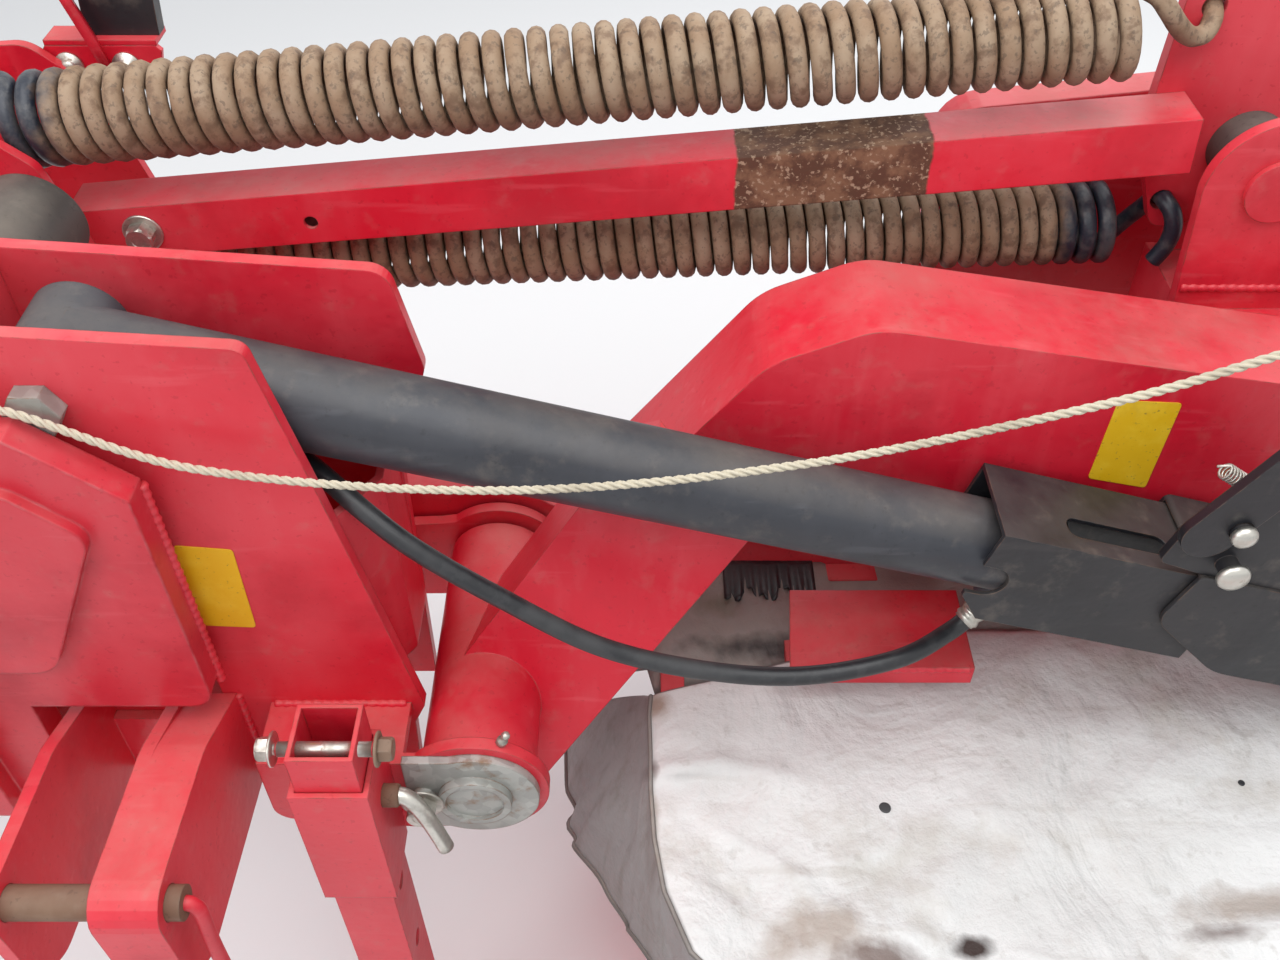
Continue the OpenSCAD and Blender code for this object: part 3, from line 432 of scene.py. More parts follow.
RED = painted("red paint", (0.66, 0.010, 0.030), (0.74, 0.11, 0.13), (0.44, 0.006, 0.018),
              (0.20, 0.065, 0.04))
paint_nodes(RED, "headstock_frame", "mast", "lower_link_bracket_right",
            "lower_link_bracket_left", "fork_plate_near", "fork_plate_far", "fork_web",
            "spring_bracket", "leg_sleeve", "stand_leg", "arm_box", "arm_ears", "ear_pin",
            "lever_plate", "deck_beam", "hinge_cheeks", "canvas_frame", "inner_tray",
            "front_guard_frame", "inner_shoe", "outer_shoe", "cutterbar_case")

# Drive covers: shells of red plastic over the belt drive and the shafts, screwed to the steelwork.
# They are softer at their edges than the steel, paler where rubbed, and dusty.
shell = painted("red plastic", (0.58, 0.014, 0.032), (0.66, 0.10, 0.12), (0.36, 0.007, 0.02),
                (0.62, 0.20, 0.20), wear=0.5, chalk_share=0.35, dust_share=0.35, gloss=0.30,
                radius=0.004)
paint_nodes(shell, "drive_casing", "rear_cover", "drive_hood", "belt_case")

# Gearboxes: rough castings of grey iron, one at the input shaft and one on the deck. They are
# bolted on, in a thin grey coat.
cast = painted("cast grey", (0.13, 0.13, 0.13), (0.22, 0.21, 0.20), (0.05, 0.045, 0.04),
               (0.16, 0.09, 0.05), wear=0.7, dust_share=0.5, gloss=0.55)
paint_nodes(cast, "gearbox", "deck_gearbox")

# Pins, bushes and skid shoes: plain dark steel, greased in the joints and worn bright below. The
# link pins and the leg's lock pin carry an even brown rust.
dark = painted("dark steel", (0.055, 0.050, 0.048), (0.12, 0.105, 0.09), (0.02, 0.018, 0.017),
               (0.20, 0.17, 0.14), wear=0.6, dust_share=0.4, gloss=0.45)
paint_nodes(dark, "skid_shoes", "lever_bush", "bracket_bush", "pivot_pin", "hinge_pin",
            "rod_eye_pin")
RUSTY = painted("rusty steel", (0.150, 0.070, 0.038), (0.26, 0.17, 0.115), (0.055, 0.027, 0.018),
                (0.22, 0.18, 0.15), wear=0.5, chalk_share=0.7, dust_share=0.3, gloss=0.62)
paint_nodes(RUSTY, "lower_link_pins", "leg_lock_pin")

# Lift cylinder: a drawn tube with a bluish charcoal coat and a chromed rod. The lock's channel,
# housing, hook and lever round it are plate, pressed and welded, in black paint.
BLACK = painted("black paint", (0.016, 0.016, 0.020), (0.050, 0.045, 0.045),
                (0.008, 0.008, 0.010), (0.15, 0.085, 0.055), wear=0.85, chalk_share=0.4,
                scuff_share=0.3, dust_share=0.14, gloss=0.36, radius=0.0015)
paint_nodes(BLACK, "lock_channel", "rod_housing", "latch_hook", "latch_lever")
charcoal = painted("charcoal paint", (0.032, 0.034, 0.042), (0.075, 0.078, 0.090),
                   (0.015, 0.015, 0.019), (0.17, 0.10, 0.07), wear=0.6, chalk_share=0.4,
                   scuff_share=0.45, dust_share=0.25, gloss=0.36)
paint_nodes(charcoal, "cylinder_barrel")


def machined(name, bright, dull, rough_low, rough_high, rust_share):
    material, tree, shader = new_material(name)
    rubs = effect(tree, scuffs, Along=8.0, Across=140.0, Low=0.45, High=0.65)["Mask"]
    tone = layered(tree, mixed(tree, rubs, bright, dull),
                   (patch(tree, 26, 0.50, 0.70), rust_share, (0.20, 0.10, 0.05)))
    round_edge = add(tree, "Bevel", {"Radius": 0.001}, samples=4).outputs[0]
    skin = bump(tree, rubs, 0.08, 0.0003, Normal=round_edge)
    wire_up(tree, shader, Base_Color=tone, Roughness=ramp(tree, rubs, 0, 1, rough_low, rough_high),
            Metallic=0.9, Normal=skin)
    return material


paint_nodes(machined("rod chrome", (0.75, 0.75, 0.77), (0.60, 0.60, 0.62), 0.10, 0.2, 0.0),
            "cylinder_rod")

# Discs and gearbox shaft: turned and pressed steel, kept bright by the crop and the splines. The
# discs are bolted to their hubs in the cutterbar and have rusted between seasons.
paint_nodes(machined("bright steel", (0.55, 0.54, 0.52), (0.36, 0.34, 0.32), 0.30, 0.5, 0.55),
            "pto_shaft", "disc_1", "disc_2", "disc_3", "disc_4", "disc_5", "disc_6")


# Pivot cap and cylinder's base pin: pressed and turned steel, dipped in zinc. The dull spangle of
# the zinc shows on the cap, with rust at its rim, where it is bolted over the pivot.
def galvanised():
    material, tree, shader = new_material("galvanised plate")
    edges = effect(tree, worn_edges, Radius=0.002, Low=0.01, High=0.08)
    spangle = add(tree, "TexVoronoi", {"Vector": on_object(tree), "Scale": 90.0})
    flake = add(tree, "SeparateColor", {0: spangle.outputs["Color"]}).outputs[0]
    tone = layered(tree, mixed(tree, flake, (0.33, 0.33, 0.31), (0.47, 0.47, 0.44)),
                   (patch(tree, 16, 0.40, 0.66), 0.55, (0.24, 0.23, 0.20)),
                   (patch(tree, 34, 0.54, 0.70, drift=6), 0.8, (0.25, 0.125, 0.055)),
                   (edges["Mask"], 0.85, (0.22, 0.10, 0.045)))
    skin = bump(tree, flake, 0.05, 0.0004, Normal=edges["Normal"])
    wire_up(tree, shader, Base_Color=tone, Roughness=ramp(tree, flake, 0, 1, 0.42, 0.62),
            Metallic=0.35, Normal=skin)
    return material


paint_nodes(galvanised(), "pivot_cap", "cylinder_base_pin")


# Counterbalance springs: coils of 16 mm wire, wound close and dipped dark, now tan with rust dust.
# Each hooks round a pin of the fixed bracket and through a hole of the lever plate on the strut.
def spring_wire(name, dark_from, dark_to):
    material, tree, shader = new_material(name)
    spots = add(tree, "TexCoord").outputs
    along = add(tree, "SeparateXYZ", {0: spots["Object"]}).outputs["X"]
    shift = ramp(tree, noise(tree, spots["Object"], 60.0, 4.0), 0, 1, -0.02, 0.02)
    bare = ramp(tree, plus(tree, along, shift), at(dark_from, 0, 0).x, at(dark_to, 0, 0).x)
    side = add(tree, "SeparateXYZ", {0: spots["Normal"]}).outputs["Z"]
    dark = mixed(tree, patch(tree, 50, 0.45, 0.65, drift=9), (0.018, 0.023, 0.036),
                 (0.075, 0.075, 0.08))
    tan = mixed(tree, patch(tree, 24, 0.35, 0.68), (0.275, 0.175, 0.105), (0.36, 0.26, 0.175))
    # The down-facing sides of the wire, found from side, are painted darker: this is painted shade,
    # not rust.
    tan = layered(tree, tan, (patch(tree, 70, 0.48, 0.66, drift=3), 0.75, (0.15, 0.085, 0.05)),
                  (patch(tree, 190, 0.55, 0.66, 3, drift=5), 0.5, (0.085, 0.06, 0.045)),
                  (ramp(tree, side, -0.2, -0.9), 0.6, (0.07, 0.05, 0.04)))
    crust = noise(tree, spots["Object"], 420.0, 3.0)
    wire_up(tree, shader, Base_Color=mixed(tree, bare, tan, dark),
            Roughness=ramp(tree, bare, 0, 1, 0.72, 0.38), Normal=bump(tree, crust, 0.5, 0.0006))
    return material


def wound(foot, head, radius, turns, steps, lead=0.0):
    foot, head = Vector(foot), Vector(head)
    way = (head - foot).normalized()
    near = Vector((0, -1, 0))
    up = way.cross(near).normalized() * -1
    line = []
    for n in range(turns * steps + 1):
        turn = 2 * math.pi * n / steps + lead
        line.append(foot.lerp(head, n / (turns * steps))
                    + (up * math.cos(turn) + near * math.sin(turn)) * radius)
    return line


wire_r = 0.0081
coil_r = 32.4
coil_turns = 50
hook_r = 26


def hooked_spring(name, node, foot, head, eye, side, left, right, wire):
    """eye is the left hook's middle; side is 1 where the wire leaves the coil on top, -1 below"""
    hook = [Vector((eye[0] + hook_r * math.cos(math.radians(a)), foot[1],
                    eye[1] - side * hook_r * math.sin(math.radians(a))))
            for a in (35, 70, 105, 140, 175, 210, 240, 265)]
    coil = wound(foot, head, coil_r, coil_turns, 26, lead=0 if side > 0 else math.pi)
    line = placed(smooth([*hook, *left, *coil[:2]], 6)[:-6] + coil
                  + smooth([*coil[-2:], *right], 6)[7:])
    piece = swept(name, line, circle(wire_r, 12), spring_wire(*wire), "strut")
    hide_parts(node)
    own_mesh(piece)


hooked_spring(
    "spring_upper_wound", "spring_upper", (-376, 300, 1004), (545, 300, 1084), (-437, 1000), 1,
    ((-419, 303, 1030), (-403, 308, 1034), (-388, 308, 1036)),
    ((551, 290, 1114), (560, 287, 1105), (572, 292, 1092), (585, 301, 1080), (597, 309, 1073),
     (608, 314, 1074), (614, 322, 1082), (615, 332, 1089), (612, 342, 1096), (606, 350, 1101)),
    ("spring wire upper", -330, -350))
hooked_spring(
    "spring_lower_wound", "spring_lower", (-306, 345, 840), (585, 345, 878), (-351, 846), -1,
    ((-333, 341, 817), (-322, 336, 811), (-311, 336, 808)),
    ((594, 357, 845), (604, 362, 853), (615, 361, 869), (625, 355, 888), (628, 346, 903),
     (626, 334, 912), (627, 322, 913), (633, 313, 906), (637, 309, 892), (636, 309, 874),
     (629, 310, 856)),
    ("spring wire lower", 525, 548))

# Strut: a square steel tube that carries the springs, in the same red paint. On one band of it the
# paint is gone and the steel is brown with rust.
strut_paint = painted("strut paint", (0.72, 0.012, 0.034), (0.80, 0.10, 0.13),
                      (0.48, 0.007, 0.02), (0.20, 0.065, 0.04), dust_share=0.55,
                      dust=(0.42, 0.30, 0.27))
tree = strut_paint.node_tree
shader = tree.nodes["Principled BSDF"]
spot = on_object(tree)
shift = ramp(tree, noise(tree, spot, 90.0, 4.0), 0, 1, -0.0025, 0.0025)
along = plus(tree, add(tree, "SeparateXYZ", {0: spot}).outputs["X"], shift)
left, right = at(229, 0, 0).x, at(394, 0, 0).x
band = times(tree, ramp(tree, along, left - 0.001, left + 0.001),
             ramp(tree, along, right + 0.001, right - 0.001))
band = times(tree, band, 0.97)
rust = mixed(tree, patch(tree, 45, 0.42, 0.6, 9), (0.085, 0.042, 0.022), (0.21, 0.115, 0.062))
rust = mixed(tree, patch(tree, 210, 0.56, 0.64, 4, drift=3), rust, (0.38, 0.27, 0.18))
coat = shader.inputs["Base Color"].links[0].from_socket
gloss = shader.inputs["Roughness"].links[0].from_socket
wire_up(tree, shader, Base_Color=mixed(tree, band, coat, rust),
        Roughness=plus(tree, gloss, times(tree, band, 0.35)))
paint_nodes(strut_paint, "strut_tube")

# Label plates: blank yellow plates of thin sheet with rounded corners, stuck on. One is on the near
# fork plate and one on the face of the arm.
corner_r = 4
plate_depth = 0.7


def capped(sides, last):
    """Faces of a stack of rings, with a flat face at each end"""
    return ring_faces(sides, last) + [tuple(range(sides))[::-1],
                                      tuple(range(last * sides, (last + 1) * sides))]


def label_plate(name, corners, body):
    material, tree, shader = new_material(name)
    yellow = mixed(tree, patch(tree, 30, 0.45, 0.7), (0.80, 0.47, 0.008), (0.86, 0.56, 0.03))
    tone = layered(tree, yellow, (patch(tree, 14, 0.52, 0.72, drift=2), 0.5, (0.42, 0.24, 0.06)),
                   (patch(tree, 220, 0.62, 0.68, drift=4), 0.6, (0.25, 0.15, 0.05)))
    wire_up(tree, shader, Base_Color=tone, Roughness=0.42,
            Normal=effect(tree, worn_edges, Radius=0.0008)["Normal"])
    rim = []
    for i, corner in enumerate(corners):
        here, before, after = Vector(corner), Vector(corners[i - 1]), Vector(corners[(i + 1) % 4])
        a, b = (before - here).normalized() * corner_r, (after - here).normalized() * corner_r
        for t in (0.0, 0.25, 0.5, 0.75, 1.0):
            rim.append(here + a * (1 - t) ** 2 + b * t ** 2)
    points = placed(rim) + placed(p - Vector((0, plate_depth, 0)) for p in rim)
    mesh_piece(name, points, capped(len(rim), 1), material, body, flat=True)


label_plate("label_plate_fork", ((-222, -0.1, 799), (-176, -0.1, 794), (-179, -0.1, 696),
                                 (-226, -0.1, 699)), "headstock")
label_plate("label_plate_arm", ((543, 114.9, 851), (597, 114.9, 848), (595, 114.9, 749),
                                (541, 114.9, 761)), "arm")


# Bolts of the leg, the cap and the strut: forged hexagon bolts and nuts, plated with zinc, on plain
# washers. The one through the leg has a rusted head and shows its thread past the nut.
def turned(name, profile, place, way, material, body, sides=32, flats=()):
    """Lathe-turned piece: profile is radius and distance along way; flats are its hexagon rings"""
    way = Vector(way).normalized()
    side = way.orthogonal().normalized()
    over = way.cross(side)
    points = []
    for n, (radius, along) in enumerate(profile):
        for k in range(sides):
            turn = 2 * math.pi * k / sides
            reach = radius / 1000
            if n in flats:
                reach /= math.cos((turn + math.pi / 6) % (math.pi / 3) - math.pi / 6)
            points.append(place + way * along / 1000
                          + side * (reach * math.cos(turn)) + over * (reach * math.sin(turn)))
    piece = mesh_piece(name, points, capped(sides, len(profile) - 1), material, body, flat=True)
    for face in piece.data.polygons:
        face.use_smooth = len(face.vertices) == 4 and not flats


def hex_head(name, place, way, across, material, body):
    """Hexagon head or nut with its chamfer, on a plain washer"""
    half, foot = across / 2, 2.4
    top = foot + 0.62 * across
    turned(name + "_washer", [(half * 1.55, 0), (half * 1.62, 0.5), (half * 1.62, 2.0),
                              (half * 1.5, 2.6)], place, way, material, body, sides=28)
    turned(name, [(half, foot), (half, top - 0.12 * across), (half * 0.98, top),
                  (half * 0.55, top), (half * 0.5, top - 0.6)],
           place, way, material, body, sides=24, flats=(0, 1))


RUSTED_BOLT = painted("rusted bolt", (0.18, 0.09, 0.05), (0.30, 0.24, 0.18), (0.08, 0.04, 0.02),
                      (0.34, 0.30, 0.26), wear=0.6, chalk_share=0.8, gloss=0.5)
for name, place, way, across, material, body in (
        ("bolt_cap", (-46, -81, 549), (0, -1, 0), 24, PLATED, "headstock"),
        ("bolt_strut", (-294.3, 275, 909.7), (0, -1, 0), 22, PLATED, "strut"),
        ("bolt_leg_nut", (-146, -105.8, 673), (-1, 0, 0), 18, PLATED, "leg"),
        ("bolt_leg_head", (-64, -105.8, 673), (1, 0, 0), 18, RUSTED_BOLT, "leg")):
    hex_head(name, at(*place), way, across, material, body)
turned("bolt_leg_shank", [(6.3, 0), (6.3, 76)], at(-143, -105.8, 673), (1, 0, 0), PLATED, "leg")
turned("bolt_leg_thread", [(6.0, 0), (5.2, 2), (5.2, 12)], at(-155, -105.8, 673), (1, 0, 0),
       PLATED, "leg")

# Canvas over the cutterbar: coated cloth of one weight, cut in a front and a rear sheet. The front
# one is tied over the frame tubes and folds down into a short skirt, and its lacing pulls in its
# corner. The rear one is tucked in under it.

# blot: mask for one stain or one patch of painted shade, with a torn edge, at a place in X and Y
blot, given, end = new_group("blot", {"X": 0.0, "Y": 0.0, "Width": 0.1, "Depth": 0.1,
                                      "Ragged": 1.4, "Scale": 30.0}, Mask="Float")
spot = on_object(blot)
centre = add(blot, "CombineXYZ", {"X": given["X"], "Y": given["Y"]}).outputs[0]
size = add(blot, "CombineXYZ", {"X": given["Width"], "Y": given["Depth"], "Z": 9.0}).outputs[0]
away = add(blot, "VectorMath", {0: spot, 1: centre}, operation="SUBTRACT").outputs[0]
away = add(blot, "VectorMath", {0: away, 1: size}, operation="DIVIDE").outputs[0]
away = add(blot, "VectorMath", {0: away}, operation="LENGTH").outputs["Value"]
torn = times(blot, noise(blot, spot, given["Scale"], 6.0), given["Ragged"])
finish_group(blot, end, Mask=ramp(blot, plus(blot, away, torn), 1.5, 0.9))


def canvas(name, fresh, aged, hanging_shade_and_dirt_tone, stains_and_shade=()):
    """Cloth of two tones with its dirt; a darker tone where it hangs, painted shade with some dirt;
    stains and patches of painted shade in millimetres
    """
    material, tree, shader = new_material(name)
    spots = add(tree, "TexCoord").outputs
    rubs = effect(tree, scuffs, Along=5.0, Across=60.0, Low=0.60, High=0.72, Turn=0.5)["Mask"]
    marks = []
    for x, y, width, depth, share, colour in stains_and_shade:
        place = at(x, y, 0)
        mark = effect(tree, blot, X=place.x, Y=place.y, Width=width, Depth=depth)["Mask"]
        marks.append((mark, share, colour))
    up = add(tree, "SeparateXYZ", {0: spots["Normal"]}).outputs["Z"]
    # Where the cloth hangs steep it takes the darker hanging tone: painted shade with some dirt.
    # Dirt streaks are limited to the same places.
    hanging_shade_and_dirt_mask = ramp(tree, up, 0.93, 0.70)
    streaks = add(tree, "Mapping", {"Vector": spots["Object"], "Scale": (60, 60, 5)}).outputs[0]
    streaks = ramp(tree, noise(tree, streaks, 1.0, 5.0), 0.5, 0.68)
    tone = layered(tree, mixed(tree, patch(tree, 3.0, 0.36, 0.66), fresh, aged),
                   (patch(tree, 11, 0.50, 0.72, 8, drift=3), 0.45, (0.42, 0.37, 0.31)),
                   (patch(tree, 55, 0.58, 0.70, 8, drift=7), 0.25, (0.30, 0.26, 0.22)),
                   (rubs, 0.2, (0.38, 0.33, 0.28)), *marks, (hanging_shade_and_dirt_mask, 0.85, hanging_shade_and_dirt_tone),
                   (times(tree, streaks, hanging_shade_and_dirt_mask), 0.5, (0.17, 0.145, 0.125)))
    crumple = noise(tree, spots["Object"], 13.0, 9.0, Roughness=0.62)
    threads = add(tree, "TexMagic", {"Vector": spots["Object"], "Scale": 330.0},
                  turbulence_depth=1).outputs["Fac"]
    skin = bump(tree, noise(tree, spots["Object"], 5.0, 5.0, Distortion=0.8), 0.7, 0.035)
    skin = bump(tree, crumple, 0.6, 0.013, Normal=skin)
    skin = bump(tree, threads, 0.10, 0.0004, Normal=skin)
    wire_up(tree, shader, Base_Color=tone, Roughness=ramp(tree, crumple, 0, 1, 0.48, 0.72),
            Normal=skin)
    return material


def between(t, stops):
    """Place at t on a line of stops, each of them its own t and then its place"""
    for a, b in zip(stops, stops[1:]):
        if t <= b[0]:
            break
    share = min(max((t - a[0]) / (b[0] - a[0]), 0), 1)
    return Vector(a[1:]).lerp(Vector(b[1:]), share)


def ease(t):
    t = min(max(t, 0.0), 1.0)
    return t * t * (3 - 2 * t)


def ripples(x, y, length, seed):
    """Five crossed waves, between about -1 and 1"""
    total = 0.0
    for n in range(5):
        turn = seed * 1.7 + n * 2.399
        run = (x * math.cos(turn) + y * math.sin(turn)) / (length * (1 + 0.37 * n))
        total += math.sin(run + seed * (n + 1)) / (1 + 0.5 * n)
    return total / 2.4


def fold(x, y, a, b, height, width):
    """Height at x, y of a crease from a to b that fades to its ends and its sides"""
    a, b, p = Vector(a), Vector(b), Vector((x, y))
    share = min(max((p - a).dot(b - a) / (b - a).length_squared, 0), 1)
    gap = (p - a.lerp(b, share)).length
    fade = 0.35 + 0.65 * math.sin(math.pi * min(max(share, 0.12), 0.88))
    return height * math.exp(-(gap / width) ** 2) * fade


folds = (((150, -23), (224, -12), 5, 11), ((224, -12), (290, -30), 4.5, 15),
         ((150, -52), (235, -48), -1.5, 24), ((202, -70), (292, -131), 2.6, 2.6),
         ((256, -100), (345, -180), 3.2, 3.0), ((300, -150), (450, -72), -5, 16),
         ((330, -125), (470, -60), 4, 14), ((165, -70), (300, -210), -6, 22),
         ((190, -120), (330, -235), 4, 14), ((433, -180), (560, -120), -7, 26),
         ((433, -180), (470, -90), -4, 12), ((420, -190), (360, -172), 3, 5),
         ((445, -185), (520, -205), 3, 6), ((560, -60), (720, 20), 3.5, 20),
         ((600, -150), (760, -110), -4, 24), ((640, -190), (780, -150), 5, 14),
         ((500, 60), (800, 110), -3, 26))
cross_tubes = (310, 915, 1255, 1950, 2760)
front_tube, back_tube = -318, 235
corner_tubes = (180, -90)
lacing = (433, -185)


def cloth_height(x, y):
    """Height over the frame's top: the cloth lies on the tubes and sags between them"""
    tube = min(*(abs(x - t) for t in cross_tubes), abs(y - front_tube), abs(y - back_tube))
    if x < 325:
        tube = min(tube, abs(x - corner_tubes[0]), abs(y - corner_tubes[1]))
    free = ease((tube - 13) / 85)
    lift = 2.0 - 7.0 * free + 2.6 * ripples(x, y, 48, 3) + 1.0 * ripples(x, y, 17, 8)
    if x < 900:
        lift += 1.5 * sum(fold(x, y, *crease) for crease in folds)
        out_x, out_y = x - lacing[0], y - lacing[1]
        pull = math.hypot(out_x, out_y)
        lift -= 6 * math.exp(-(pull / 22) ** 2)
        lift += 2.0 * math.exp(-(pull / 60) ** 2) * math.sin(7 * math.atan2(out_y, out_x))
    return max(lift, 0.4 - 12.0 * free)


def cloth(name, grid, thick, material, body, node=None):
    """Sheet through a grid of points, and the size it was cut to, in metres"""
    grid = np.array(grid, dtype=float)
    rows, cols = grid.shape[:2]
    down = np.cross(np.gradient(grid, axis=1), np.gradient(grid, axis=0))
    down /= np.linalg.norm(down, axis=2)[:, :, None]
    points = placed(grid.reshape(-1, 3)) + placed((grid + down * thick).reshape(-1, 3))
    faces, half = [], rows * cols
    for j in range(rows - 1):
        for i in range(cols - 1):
            a = j * cols + i
            b, c, d = a + 1, a + cols + 1, a + cols
            faces += [(a, d, c, b), (half + a, half + b, half + c, half + d)]
    rim = list(range(cols)) + [j * cols + cols - 1 for j in range(1, rows)]
    rim += [(rows - 1) * cols + i for i in range(cols - 2, -1, -1)]
    rim += [j * cols for j in range(rows - 2, 0, -1)]
    faces += [(a, b, half + b, half + a) for a, b in zip(rim, rim[1:] + rim[:1])]
    piece = mesh_piece(name, points, faces, material, body)
    if node:
        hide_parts(node)
    long, wide = (np.linalg.norm(np.diff(grid, axis=way), axis=2).sum(axis=way).mean() / 1000
                  for way in (1, 0))
    return piece, (long, wide)


def drape(crease, hem, s, ripple):
    """Point at share s down a skirt that starts level at its crease and turns down"""
    out, fall = 0.45 * s + 0.55 * math.sin(s * math.pi / 2), 0.8 * s + 0.2 * s * s
    x, y = crease[0] + (hem[0] - crease[0]) * out, crease[1] + (hem[1] - crease[1]) * out
    z = crease[2] + (hem[2] - crease[2]) * fall
    away = Vector((hem[0] - crease[0], hem[1] - crease[1], 0)).normalized()
    return (x + away.x * ripple, y + away.y * ripple, z)


# The third colour is near-black painted shade, for the dark slot under the front sheet.
STAIN, RUST_STAIN, SLOT_SHADE = (0.27, 0.18, 0.12), (0.10, 0.045, 0.03), (0.022, 0.018, 0.018)
stains_and_shade = (
    (302, -180, 0.085, 0.050, 0.6, STAIN), (345, -196, 0.060, 0.022, 0.75, RUST_STAIN),
    (433, -186, 0.026, 0.016, 1.0, (0.03, 0.015, 0.012)), (690, -150, 0.13, 0.030, 0.55, STAIN),
    (655, -176, 0.05, 0.014, 0.7, RUST_STAIN), (165, 55, 0.030, 0.030, 0.8, STAIN),
    (156, -20, 0.012, 0.016, 0.9, RUST_STAIN), (158, -90, 0.012, 0.090, 0.6, STAIN))
top_canvas = canvas("canvas front", (0.735, 0.73, 0.72), (0.645, 0.635, 0.62),
                    (0.19, 0.172, 0.168), stains_and_shade)
cloth_depth = 2.4
cover_z = 500.5
skirt_creases = ((0, 158, 68), (.15, 156, 45), (.3, 157, 0), (.42, 157, -40), (.55, 160, -90),
                 (.68, 168, -140), (.8, 190, -195), (.9, 240, -245), (1, 330, -290))
skirt_hems = ((0, 62, 150, 302), (.15, 65, 80, 300), (.3, 75, 32, 300), (.42, 89, 2, 300),
              (.55, 115, -49, 305), (.68, 147, -107, 320), (.8, 183, -170, 350),
              (.9, 234, -234, 380), (1, 287, -292, 400))
inner_x, outer_x, outer_hem_x = 160, 2790, 2862
notch = (931, 1243)
columns = [inner_x + 8.2 * n for n in range(94)] + [notch[0] - 0.5, notch[0] + 1.5]
columns += [955 + 28.5 * n for n in range(11)] + [notch[1] - 1, notch[1] + 1]
columns += [1262 + 26 * n for n in range(59)] + [outer_x]
front_rows = []
for j in range(61):
    t = j / 60
    crease, hem = between(t, skirt_creases), between(t, skirt_hems)
    edge_z = 500 + 0.4 * cloth_height(crease.x, crease.y)
    waves = 9.0 * math.sin(21 * t + 0.9 * math.sin(9 * t)) + 4.5 * math.sin(47 * t + 1.0)
    row = []
    for n in range(20):
        s = 1 - n / 20
        rolled = 3.5 * math.sin(math.pi * s) * ripples(crease.y * 3, s * 160, 30, 5)
        row.append(drape((crease.x, crease.y, edge_z), hem, s, waves * s * ease(t * 3) + rolled))
    for x in columns:
        along = crease.x + (x - inner_x) * (600 - crease.x) / 440 if x < 600 else x
        back = 12.0 if notch[0] < x < notch[1] else (158.0 if x <= notch[0] else 246.0)
        right_y = back + (-293 - back) * t
        bend = max(0.0, 1 - (along - crease.x) / 330)
        y = right_y + (crease.y - right_y) * bend ** 1.15
        z = cover_z + cloth_height(along, y) * ease((along - crease.x) / 16 + 0.35)
        row.append((along, y, z if j else z - 2))
    end_y = row[-1][1]
    for n in range(1, 11):
        s = n / 10
        row.append(drape((outer_x, end_y, 500), (outer_hem_x, end_y, 300), s,
                         3.5 * s * math.sin(17 * t)))
    front_rows.append(row)
front_sheet, front_size = cloth("canvas_front_sheet", front_rows, cloth_depth, top_canvas,
                                "deck", "canvas_cover")
piping_canvas = canvas("canvas piping", (0.30, 0.27, 0.25), (0.16, 0.14, 0.125),
                       (0.13, 0.115, 0.105))
for name, column, radius in (("canvas_hem", 0, 0.0034), ("canvas_seam", 20, 0.0024)):
    swept(name, placed(row[column] for row in front_rows), circle(radius, 9),
                       piping_canvas, "deck")

rear_rows = []
for j in range(15):
    t = j / 14
    tuck = 13 * (1 - ease(t / 0.28))
    edge = Vector((163 - 3 * t, 104 + 144 * t))
    row = []
    for n in range(16):
        s = 1 - n / 16
        row.append(drape((edge.x, edge.y, 496), (70 + 6 * t, edge.y + 74 - 66 * t, 305), s,
                         5 * s * math.sin(11 * t + 1) + 2 * s * math.sin(29 * t)))
    for n in range(91):
        x = edge.x + (926 - edge.x) * n / 90
        front = 160 - max(0.0, 1 - (x - 160) / 330) ** 1.15 * 82 - 14 * ease((x - 430) / 80)
        y = front + (247 - front) * t
        clear = 0.0 if abs(x - 380) > 30 else 5.0
        lift = 0.8 * cloth_height(x, y) * ease(t / 0.28 + 0.2)
        row.append((x, y, 497 + lift - tuck - clear))
    rear_rows.append(row)
# The two near-black marks along the rear sheet's front edge are painted shade in the slot under the
# front sheet; the rest are stains.
stains_and_shade = (
    (300, 132, 0.17, 0.024, 0.95, SLOT_SHADE), (420, 158, 0.14, 0.014, 0.95, SLOT_SHADE),
    (290, 220, 0.06, 0.03, 0.8, (0.09, 0.07, 0.055)),
    (230, 190, 0.04, 0.03, 0.6, (0.13, 0.12, 0.07)), (600, 230, 0.2, 0.03, 0.5, STAIN))
# The rear sheet's tones are much darker than the front's: painted shade under the front sheet and
# the arm, with some dirt.
rear_canvas_shaded = canvas("canvas rear shaded", (0.34, 0.31, 0.285), (0.25, 0.225, 0.20),
                     (0.20, 0.185, 0.175), stains_and_shade)
rear_sheet, rear_size = cloth("canvas_rear_sheet", rear_rows, cloth_depth, rear_canvas_shaded, "deck")

# Guard canvas: the same coated cloth, tied to the front tube of the cover and to the guard's frame.
# It runs out over the frame, hangs down to the grass line and lifts with the guard's hinge.
guard_path = ((0, -331, 501), (.08, -380, 498), (.3, -505, 468), (.38, -551, 455),
              (.41, -568, 447), (.44, -576, 428), (1, -576, 97))
guard_rows = []
for j in range(45):
    run = j / 44
    path_y, path_z = between(run, guard_path)
    hang = ease((run - 0.44) / 0.56)
    slack = ease(min(run / 0.15, (0.42 - run) / 0.1))
    row = []
    for n in range(180):
        x = 302 + (2788 - 302) * n / 179
        waves = math.sin(x / 31 + 1.3 * math.sin(x / 143)) + 0.5 * math.sin(x / 13.7)
        y = path_y - 3.0 + hang * (4.0 * waves + 1.2 * ripples(x, path_z, 40, 2))
        row.append((x, y, path_z + slack * (3.2 * ripples(x, y, 60, 6) - 4)))
    guard_rows.append(row)
guard_canvas = canvas("canvas guard", (0.66, 0.64, 0.61), (0.55, 0.52, 0.48), (0.50, 0.48, 0.45),
                      ((900, -560, 0.5, 0.03, 0.5, STAIN), (2000, -570, 0.4, 0.03, 0.5, STAIN)))
guard_sheet, guard_size = cloth("canvas_guard_sheet", guard_rows, cloth_depth, guard_canvas,
                                "guard", "front_guard_canvas")

